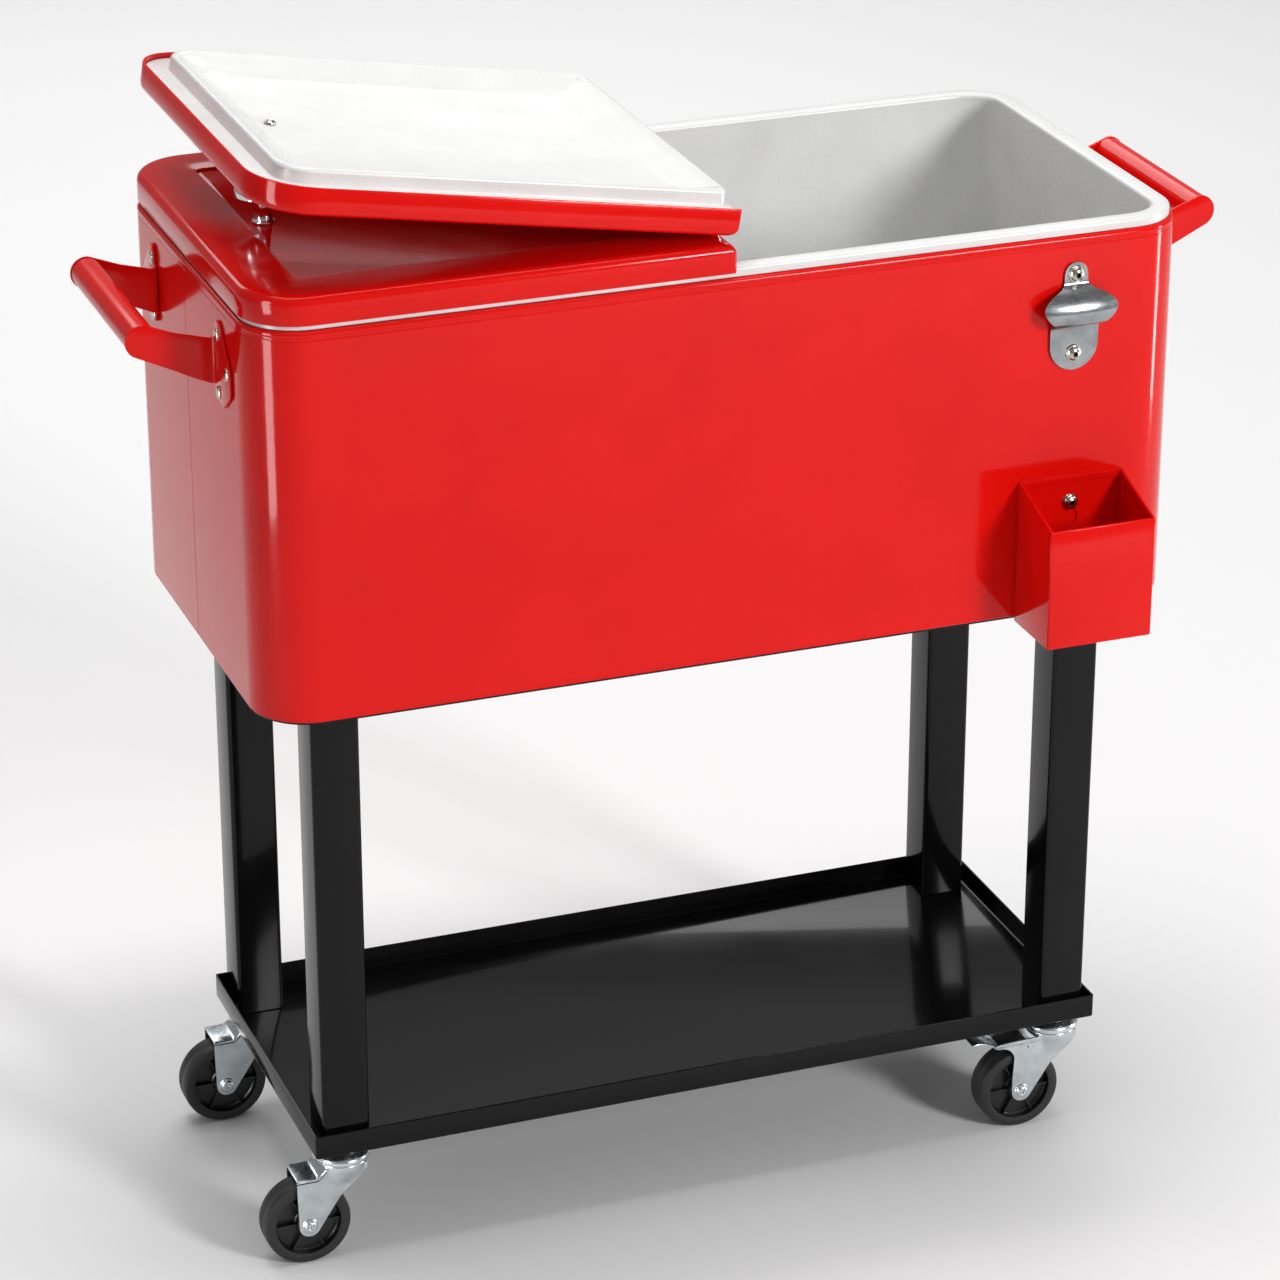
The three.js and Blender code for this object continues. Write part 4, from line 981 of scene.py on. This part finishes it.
def make_rivets():
    """Three rivets on each of the four flanges: beside the arm above and below, and out at the side."""
    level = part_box("handle_left_front_arm")[0].z + ARM_LEVEL
    flange = HALF_LENGTH + GAP + STRIP
    work = bmesh.new()
    for side in (-1, 1):
        for end in (-1, 1):
            for out, up in ((9, 28), (33, 5), (9, -17)):
                y = MID_Y + end * (ARM_FACE + out * MM)
                work.verts.new((side * (flange + GAP), y, level + up * MM))
    base = new_piece("rivet_places", work)
    rivets = grown(RIVET_TREE, base, "handle_rivets", NICKEL, Radius=4.8 * MM, Drum_Height=1.6 * MM,
                   Dome_Height=1.9 * MM)
    finish_piece(rivets, "chest", "stainless_steel")


def make_handles():
    for side in ("left", "right"):
        make_grip(side)
        for end in ("front", "back"):
            make_arm(side, end)
    make_rivets()


# ---------------------------------------------------------------- opener, bolts and catch bin
def opener_stations():
    """The stamped strip from the tab's top to the foot's end: (height, depth, half width) in mm, with the
    heights from the lower bolt."""
    tab = [(72.4, 0, 1.5), (71.6, 0, 4.4), (69.4, 0, 7.4), (66.5, 0, 9.0), (63, 0, 9.6), (57.5, 0, 9.7)]
    neck = [(54.6, 0.6, 10), (52.6, 2.6, 11.6), (51, 5.2, 15)]
    hood = [(48.6, 8.2, 21), (45, 11.4, 27), (41, 13.8, 30.4), (37, 15, 30.2), (33, 15, 27.6),
            (30, 14.4, 24.6), (27.6, 13.4, 22)]
    lip = [(26.4, 12.2, 20.6), (25.9, 10.4, 20), (25.9, 8.2, 19.8)]
    foot = [(25.2, 5.4, 19.8), (23.4, 2.6, 19.9), (20.6, 0.8, 20), (17, 0, 20), (10, 0, 20), (4, 0, 19.9),
            (-1, 0, 18.6), (-6, 0, 15.6), (-10, 0, 11.2), (-12.4, 0, 6.6), (-13.4, 0, 2)]
    return tab + neck + hood + lip + foot


def bolt_place(name):
    """The middle of a bolt's front, on its axis."""
    low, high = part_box(name)
    return Vector(((low.x + high.x) / 2, low.y, (low.z + high.z) / 2))


def make_opener():
    """The opener, stamped from strip: a tab, a hood with the lip that lifts the cap, and a foot."""
    lower = bolt_place("opener_bolt_lower")
    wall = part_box("opener_plate")[1].y
    across = 14
    rings = []
    for height, depth, half in opener_stations():
        ring = []
        for i in range(across + 1):
            u = 2 * i / across - 1
            swept = 3.2 * (u * half / 30) ** 2 * min(depth / 12, 1)
            x = lower.x + u * half * MM
            ring.append((x, wall - (1 + max(depth - swept, 0)) * MM, lower.z + height * MM))
        rings.append(ring)
    work = bmesh.new()
    loft(work, rings, closed=False)
    piece = walled(new_piece("opener_stamping", work), STRIP)
    softened(piece, 0.35 * MM, 2, 50)
    finer = piece.modifiers.new("finer", "SUBSURF")
    finer.levels = finer.render_levels = 2
    settle(piece, STAINLESS)
    recalc_outwards(piece)
    finish_piece(piece, "chest", "stainless_steel", "opener_plate")


def make_bolt(name):
    """A button-head bolt on a thin washer, with a hexagonal socket."""
    head = 4 * MM
    seat = bolt_place(name) + Vector((0, head, 0))
    profile = [(0, -8), (2.5, -8), (2.5, 0), (6.6, 0), (6.8, 0.3), (6.5, 0.8), (5.6, 0.9), (5.7, 1.6)]
    profile += [(5.6 * x, 1.4 + 2.6 * y) for x, y in arc(0, 0, 1, 10, 60, 5)]
    profile += [(2.3, 3.95), (2.0, 3.9)]
    work = bmesh.new()
    turned(work, in_metres(profile), seat, "-y", 36)
    bmesh.ops.remove_doubles(work, verts=work.verts, dist=1e-7)
    piece = settle(new_piece(name + "_head", work), NICKEL)
    finish_piece(piece, "chest", "stainless_steel", name)

    # The socket insert is dark with painted shade, standing in for the shadow inside the head.
    work = bmesh.new()
    socket = [(2.2, 3.94), (1.9, 3.8), (1.7, 1.6), (0, 1.2)]
    turned(work, in_metres(socket), seat, "-y", 6)
    piece = settle(new_piece(name + "_socket", work, recalc=False), SOCKET_SHADE, math.radians(20))
    finish_piece(piece, "chest", "stainless_steel")


def make_bin():
    """A folded sheet box with hemmed top edges, hung on its bolt by a keyhole in the back, with the end
    walls' two tabs inside."""
    low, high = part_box("catch_bin")
    front_top = 96.5 * MM  # height of the front
    back_top = high.z - low.z
    x0, x1, y0, y1 = low.x, high.x, low.y, high.y

    def top_at(y):
        return low.z + front_top + (back_top - front_top) * (y - y0) / (y1 - y0)

    def ring(inset, radius, height=None, drop=0.0):
        inset *= MM
        points = rounded(x0 + inset, x1 - inset, y0 + inset, y1 - inset, radius * MM, 4)
        return [(x, y, (low.z + height * MM) if height is not None else top_at(y) - drop * MM)
                for x, y in points]

    rings = [ring(1.3, 1, 0), ring(0.4, 1.2, 0.3), ring(0, 1.4, 1.2), ring(0, 1.4, drop=0.7),
             ring(0.25, 1.2, drop=0.15), ring(0.9, 0.8, drop=0), ring(1.6, 0.6, drop=0),
             ring(2.1, 0.4, drop=0.3), ring(2.1, 0.4, drop=5.4), ring(1.9, 0.5, drop=5.8),
             ring(1.2, 0.8, drop=5.9), ring(1.2, 0.8, 2.4), ring(1.6, 0.6, 1.5), ring(2.6, 0.4, 1.2)]
    work = bmesh.new()
    loft(work, rings, cap_start=True, cap_end=True)
    piece = new_piece("catch_bin_sheet", work)

    bolt = bolt_place("bin_bolt")
    hole_radius, drop, half, deep = 7 * MM, 12 * MM, 2.9 * MM, 6 * MM
    work = bmesh.new()
    turned(work, [(0, -deep), (hole_radius, -deep), (hole_radius, deep), (0, deep)],
           (bolt.x, y1, bolt.z - drop), "-y", 40)
    round_tool = new_piece("keyhole_round", work)
    work = bmesh.new()
    outline = [(bolt.x - half, bolt.z - drop), (bolt.x + half, bolt.z - drop)]
    outline += arc(bolt.x, bolt.z, half, 0, 180, 10)
    plate(work, outline, 2 * deep, lambda u, v, w: (u, y1 - deep + w, v))
    slot_tool = new_piece("keyhole_slot", work)
    cut_by(piece, round_tool, slot_tool)
    settle(piece, RED)
    finish_piece(piece, "catch_bin", "red_paint", "catch_bin")

    foot, under_hem = low.z + 2.6 * MM, 6.4 * MM
    back = y1 - 1.4 * MM
    front = back - 8 * MM
    for side, name in ((-1, "catch_bin_tab_left"), (1, "catch_bin_tab_right")):
        work = bmesh.new()
        face = (x0 + 1.2 * MM) if side < 0 else (x1 - 1.2 * MM)
        outline = [(back, foot), (back, top_at(back) - under_hem), (front, top_at(front) - under_hem),
                   (front, foot)]
        plate(work, outline, 0.8 * MM, lambda u, v, w: (face - side * w, u, v))
        tab = settle(softened(new_piece(name, work), 0.25 * MM, 2), RED)
        finish_piece(tab, "catch_bin", "red_paint")


def make_fittings():
    make_opener()
    for name in ("opener_bolt_upper", "opener_bolt_lower", "bin_bolt"):
        make_bolt(name)
    make_bin()


# ---------------------------------------------------------------- drain
def make_drain():
    """The moulded spout with its collar, and the ribbed cap that pushes onto it."""
    place = drain_place()
    low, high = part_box("drain_spout")
    start, end = low.x / MM, high.x / MM
    face = (HALF_LENGTH + GAP) / MM
    profile = [(7, start), (9.4, start), (9.4, face), (14.6, face), (15, face + 0.4), (15, face + 3),
               (14.2, face + 4), (11, face + 4), (9.6, face + 4.8), (9.5, end - 0.6), (9, end), (7.4, end),
               (7, end - 0.4), (7, start)]
    spout = turned_piece("drain_spout_moulding", profile, WHITE, centre=place, axis="x", segments=56)
    finish_piece(spout, "chest", "white_liner", "drain_spout")

    low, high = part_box("drain_cap")
    start, end = low.x / MM, high.x / MM
    outer = (high.y - low.y) / 2 / MM
    profile = [(9.9, start), (outer - 0.6, start), (outer - 0.2, start + 0.6), (outer - 0.2, end - 1.6),
               (outer - 1.6, end), (6, end), (5.4, end - 0.8), (0, end - 0.8), (0, end - 2.6),
               (9.9, end - 2.6), (9.9, start)]
    work = bmesh.new()
    turned(work, in_metres(profile), place, "x", 60)
    cap = settle(new_piece("drain_cap_moulding", work), WHITE)
    finish_piece(cap, "drain_cap", "white_liner", "drain_cap")

    work = bmesh.new()
    rib = 0.7 * MM
    radius = (outer - 0.3) * MM
    length = (end - start - 3) * MM
    crest = radius + 0.9 * MM
    outline = [(radius, -rib), (crest, -rib * 0.5), (crest, rib * 0.5), (radius, rib)]
    plate(work, outline, length, lambda u, v, w: (u, v, w))
    ribs = grown(RING_TREE, new_piece("cap_rib", work), "drain_cap_ribs", WHITE, Count=24)
    turn = Matrix.Translation(place + Vector(((start + 1) * MM, 0, 0))) @ Matrix.Rotation(QUARTER, 4, "Y")
    finish_piece(placed(settle(ribs, WHITE), turn), "drain_cap", "white_liner")


# ---------------------------------------------------------------- stand
CORNERS = ("front_left", "front_right", "back_left", "back_right")


def make_leg(corner):
    """A length of square tube with rounded corners."""
    low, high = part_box("leg_" + corner)
    wall = 1.6
    rings = []
    for inset, z in ((wall, low.z), (0.4, low.z), (0, low.z + 0.4 * MM), (0, high.z - 0.4 * MM),
                     (0.4, high.z), (wall, high.z)):
        radius = max(3.2 - inset, 1.2) * MM
        points = rounded(low.x + inset * MM, high.x - inset * MM, low.y + inset * MM, high.y - inset * MM,
                         radius, 5)
        rings.append([(x, y, z) for x, y in points])
    work = bmesh.new()
    loft(work, rings, wrap=True)
    piece = settle(new_piece(f"leg_{corner}_tube", work), BLACK)
    finish_piece(piece, "chest", "black_paint", "leg_" + corner)


def make_tray():
    """A shallow folded tray with an upturned lip all round."""
    lip = (tray_high.z - tray_low.z) / MM
    profile = [(2.2, 0, 1), (0.6, 0.15, 1.6), (0.15, 0.6, 1.9), (0, 1.6, 2), (0, lip - 0.7, 2),
               (0.25, lip - 0.2, 1.8), (0.8, lip, 1.4), (1.3, lip - 0.2, 1), (1.5, lip - 0.7, 0.8),
               (1.5, 3.4, 0.8), (1.9, 2.1, 0.8), (3.2, 1.5, 0.8)]
    rings = []
    for inset, height, radius in profile:
        points = rounded(tray_low.x + inset * MM, tray_high.x - inset * MM,
                         tray_low.y + inset * MM, tray_high.y - inset * MM, radius * MM, 5)
        rings.append([(x, y, tray_low.z + height * MM) for x, y in points])
    work = bmesh.new()
    loft(work, rings, cap_start=True, cap_end=True)
    piece = settle(new_piece("tray_sheet", work), BLACK)
    finish_piece(piece, "chest", "black_paint", "tray")


# ---------------------------------------------------------------- casters, in mm about the swivel axis
TRAIL = 31  # swivel axis to axle
WHEEL = 35  # radius
HALF_TYRE = 11.5
CHEEK = 14.5  # mm, middle plane to the middle of a cheek's sheet
CROWN = 21  # radius
CROWN_TOP = 86
FORK_SHEET = 1.6


def smooth_step(value, low, high):
    """A share that eases from 0 at low to 1 at high."""
    t = min(max((value - low) / (high - low), 0), 1)
    return t * t * (3 - 2 * t)


def cheek_outline(brake):
    """A cheek as (x, z) in mm: round the axle's eye, up to the crown, and back over the tyre."""
    eye = 8.6
    points = arc(-TRAIL, WHEEL, eye, 180, 322, 14)
    points += [(-6, 57.5), (8, 70.5), (16, 78.4), (17, 80.5), (17, 84)]
    if brake:
        points += [(-13, 84), (-30, 83.8), (-46, 83.2), (-54, 82.6), (-56.8, 82), (-57.4, 80.8)]
        points += [(-56, 79), (-53, 77.8)]
        points += arc(-50.6, 65.6, 12.2, 92, 5, 9)
        points += [(-39.7, 48)]
    else:
        points += [(-14, 84), (-19, 80), (-24, 76.6), (-TRAIL - eye - 1, 75.4), (-TRAIL - eye - 0.8, 60)]
    return points


def cheek_mesh(brake):
    """A cheek cut into a fine grid, whose top flares out to meet the round crown."""
    work = bmesh.new()
    work.faces.new([work.verts.new((x, 0, z)) for x, z in cheek_outline(brake)])
    sliced(work, Vector((1, 0, 0)), range(-60, 18, 2), 1e-5)
    sliced(work, Vector((0, 0, 1)), range(62, 84), 1e-5)
    for v in work.verts:
        x, z = v.co.x, v.co.z
        reach = math.sqrt(max((CROWN - 0.8) ** 2 - x * x, 0)) - CHEEK
        flare = max(reach, 0) * smooth_step(z, 66, 83)
        if brake:
            flare = max(flare, 1.6 * smooth_step(z, 78.6, 82) * smooth_step(-x, 12, 20))
        v.co.y = CHEEK + flare
    return work


def make_fork_shape(brake):
    """The fork as one object at the swivel axis: two cheeks, the crown and, on a plain fork, the cover."""
    parts = []
    for side in (1, -1):
        piece = walled(new_piece("cheek", cheek_mesh(brake), recalc=False), FORK_SHEET)
        softened(piece, 0.35, 2, 50)
        settle(piece, ZINC)
        recalc_outwards(piece)
        placed(piece, Matrix.Diagonal((1, side, 1, 1)))
        parts.append(piece)
    crown = rounded_profile(
        [(8, 78), (16.5, 78), (CROWN - 1.6, 80.5), (CROWN, 82.6), (CROWN, 85.2), (CROWN - 0.9, CROWN_TOP),
         (14, CROWN_TOP), (12, 84.6), (8, 84.6), (8, 78)], 0.7, 3)
    crown[-1] = crown[0]
    work = bmesh.new()
    turned(work, crown, (0, 0, 0), "z", 64)
    parts.append(settle(new_piece("crown", work), ZINC))
    if not brake:
        parts.append(fork_cover())
    joined = join_pieces(parts, "fork_shape")
    joined.data.transform(Matrix.Scale(MM, 4))
    return joined


def fork_cover():
    """The strip over the tyre, folded down into the cheeks and rising in a curve to the crown."""
    rings = []
    outer = CHEEK + FORK_SHEET / 2
    fold = 2.4
    for i in range(15):
        x = -TRAIL - 9.6 + i * 2.1
        top = 77.2 + 7.6 * smooth_step(x, -25, -13)
        section = [(-outer, top - 3.4)] + arc(-outer + fold, top - fold, fold, 180, 90, 5)
        section += arc(outer - fold, top - fold, fold, 90, 0, 5) + [(outer, top - 3.4)]
        rings.append([(x, y, z) for y, z in section])
    work = bmesh.new()
    loft(work, rings, closed=False)
    piece = new_piece("cover", work)
    recalc_outwards(piece)
    walled(piece, FORK_SHEET, -1)
    softened(piece, 0.35, 2, 50)
    return settle(piece, ZINC)


def mount_profile():
    """The swivel's upper plate: a rolled edge, a low dome up to the tray, and the kingpin below."""
    points = [(0, 77.2), (6.4, 77.2), (6.4, 80), (4.2, 81), (4.2, 86.6), (21.4, 86.6), (22.8, 87), (23, 88),
              (22.9, 90.2), (22, 91.6), (19.6, 93.6), (16.4, 96.2), (13.4, 98.4), (12, 98.7), (5, 98.7),
              (5, 120), (0, 120)]
    return rounded_profile(points, 0.6, 3)


def tyre_profile():
    """The tread ring: flat sides, rounded shoulders and a slightly crowned tread with a moulding line."""
    half = HALF_TYRE
    side = [(27.2, half - 0.3), (28.4, half), (32.6, half), (34, half - 0.7), (34.7, half - 2.2),
            (34.95, half - 5), (35, 0.7), (34.7, 0.25)]
    mirrored = [(r, -y) for r, y in reversed(side)]
    inner = [(27.2, -half + 0.3), (27.2, half - 0.3)]
    return side + mirrored + inner[1:]


def centre_profile():
    """The wheel's centre: a boss, a recessed web and the rim under the tread."""
    half = HALF_TYRE
    web = half - 6.5
    side = [(3.4, half + 0.8), (8.4, half + 0.8), (9, half + 0.2), (9.6, web + 1), (10.6, web), (25, web),
            (26, web + 1), (26.4, half - 0.4), (27.2, half - 0.3)]
    mirrored = [(r, -y) for r, y in reversed(side)]
    return side + mirrored + [side[0]]


def make_wheel_shapes():
    """The wheel's centre with its ribs and its tyre, both about the Z axis and at the origin."""
    work = bmesh.new()
    turned(work, in_metres(centre_profile()), (0, 0, 0), "z", 72)
    centre = settle(new_piece("wheel_centre_shape", work), NYLON)
    work = bmesh.new()
    outline = [(8.8, -10), (12, -9.2), (26.2, -9.2), (26.2, 9.2), (12, 9.2), (8.8, 10)]
    half = 0.8 * MM
    plate(work, in_metres(outline), 2 * half, lambda u, v, w: (u, w - half, v))
    rib = softened(new_piece("wheel_rib", work), 0.3 * MM, 2)
    settle(rib, NYLON)
    ribs = settle(grown(RING_TREE, rib, "wheel_ribs", NYLON, Count=6), NYLON)
    centre = join_pieces([centre, ribs], "wheel_centre_shape")
    work = bmesh.new()
    turned(work, in_metres(tyre_profile()), (0, 0, 0), "z", 96)
    tyre = settle(new_piece("tyre_shape", work), TREAD)
    return centre, tyre


def make_axle_shape():
    """The axle's rivet with a washer and a rounded, hollow head at each end, along Z and at the origin."""
    inside = 15.4
    head = [(3, 0), (3, inside), (6.4, inside), (6.6, inside + 0.3), (6.2, inside + 0.8), (5.2, inside + 0.8),
            (5, inside + 1.6), (4, inside + 2.4), (2.4, inside + 2.6), (1.7, inside + 2.2),
            (1.5, inside + 0.6), (0, inside + 0.4)]
    profile = [(r, -h) for r, h in reversed(head)] + head[1:]
    work = bmesh.new()
    turned(work, in_metres(profile), (0, 0, 0), "z", 32)
    bmesh.ops.remove_doubles(work, verts=work.verts, dist=1e-7)
    return settle(new_piece("axle_shape", work), ZINC)


def make_pedal_shapes():
    """The brake lever with its rolled pivot and lipped tip, and the dark cover over its root."""
    pivot_x, pivot_z = -25, 75
    lever_width, cover_width = 19, 23
    lever = [(-2, 1.2), (-14, 1.6), (-24, 2.6), (-31, 4.6), (-36, 6.8), (-40, 8), (-45, 8.3), (-49, 7.8),
             (-49.7, 7), (-49, 6.2), (-45, 6.5), (-40.6, 6.2), (-37, 5), (-32, 2.8), (-24, 0.8),
             (-14, -0.4), (-2, -1)]
    work = bmesh.new()
    plate(work, [(pivot_x + x, pivot_z + z) for x, z in lever], lever_width,
          lambda u, v, w: (u, w - lever_width / 2, v))
    lever_piece = settle(softened(new_piece("lever", work), 0.5, 3), ZINC)
    work = bmesh.new()
    barrel = [(0, -16.4), (1.7, -16.4), (2, -16.1), (2, -13.7), (3.4, -13.4), (3.4, 13.4), (2, 13.7),
              (2, 16.1), (1.7, 16.4), (0, 16.4)]
    turned(work, barrel, (pivot_x, 0, pivot_z), "y", 28)
    barrel_piece = settle(new_piece("barrel", work), ZINC)
    lever_piece = join_pieces([lever_piece, barrel_piece], "pedal_shape")
    lever_piece.data.transform(Matrix.Scale(MM, 4))
    work = bmesh.new()
    cover = [(-3.4, 1.8), (-4.4, 3.6), (-8, 4), (-20, 3.4), (-27, 2.6), (-28, 1.8), (-20, 1.7), (-3.4, 1.6)]
    plate(work, [(pivot_x + x, pivot_z + z) for x, z in cover], cover_width,
          lambda u, v, w: (u, w - cover_width / 2, v))
    cover_piece = settle(softened(new_piece("pedal_cover_shape", work), 0.5, 3), NYLON)
    cover_piece.data.transform(Matrix.Scale(MM, 4))
    return lever_piece, cover_piece


def make_casters():
    """Draws each shape once and copies it to the four corners; two of the casters have a brake."""
    forks = {False: make_fork_shape(False), True: make_fork_shape(True)}
    centre, tyre = make_wheel_shapes()
    axle = make_axle_shape()
    pedal, pedal_cover = make_pedal_shapes()
    mount = turned_piece("mount_shape", mount_profile(), ZINC, segments=64)
    shapes = [*forks.values(), centre, tyre, axle, pedal, pedal_cover, mount]
    for corner in CORNERS:
        low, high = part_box("caster_mount_" + corner)
        swivel = Matrix.Translation(((low.x + high.x) / 2, (low.y + high.y) / 2, 0))
        brake = "brake_pedal_" + corner in frame["nodes"]
        wheel = swivel @ Matrix.Translation((-TRAIL * MM, 0, WHEEL * MM)) @ Matrix.Rotation(QUARTER, 4, "X")
        piece = copied(mount, f"caster_mount_{corner}_pressing", swivel)
        finish_piece(piece, "chest", "zinc_plate", "caster_mount_" + corner)
        piece = copied(forks[brake], f"fork_{corner}_pressing", swivel)
        finish_piece(piece, "caster_" + corner, "zinc_plate", "fork_" + corner)
        piece = copied(axle, f"axle_{corner}_rivet", wheel)
        finish_piece(piece, "caster_" + corner, "zinc_plate", "axle_" + corner)
        piece = copied(centre, f"wheel_{corner}_centre", wheel)
        finish_piece(piece, "wheel_" + corner, "wheel_rubber", "wheel_" + corner)
        piece = copied(tyre, f"wheel_{corner}_tyre", wheel)
        finish_piece(piece, "wheel_" + corner, "wheel_rubber")
        if brake:
            piece = copied(pedal, f"brake_pedal_{corner}_lever", swivel)
            finish_piece(piece, "brake_pedal_" + corner, "zinc_plate", "brake_pedal_" + corner)
            piece = copied(pedal_cover, f"brake_pedal_{corner}_cover", swivel)
            finish_piece(piece, "brake_pedal_" + corner, "wheel_rubber")
    for shape in shapes:
        bpy.data.objects.remove(shape)


# ---------------------------------------------------------------- the whole
stand_camera()
lay_floor()
light_studio()
make_chest()
make_lids()
make_handles()
make_fittings()
make_drain()
for corner_name in CORNERS:
    make_leg(corner_name)
make_tray()
make_casters()
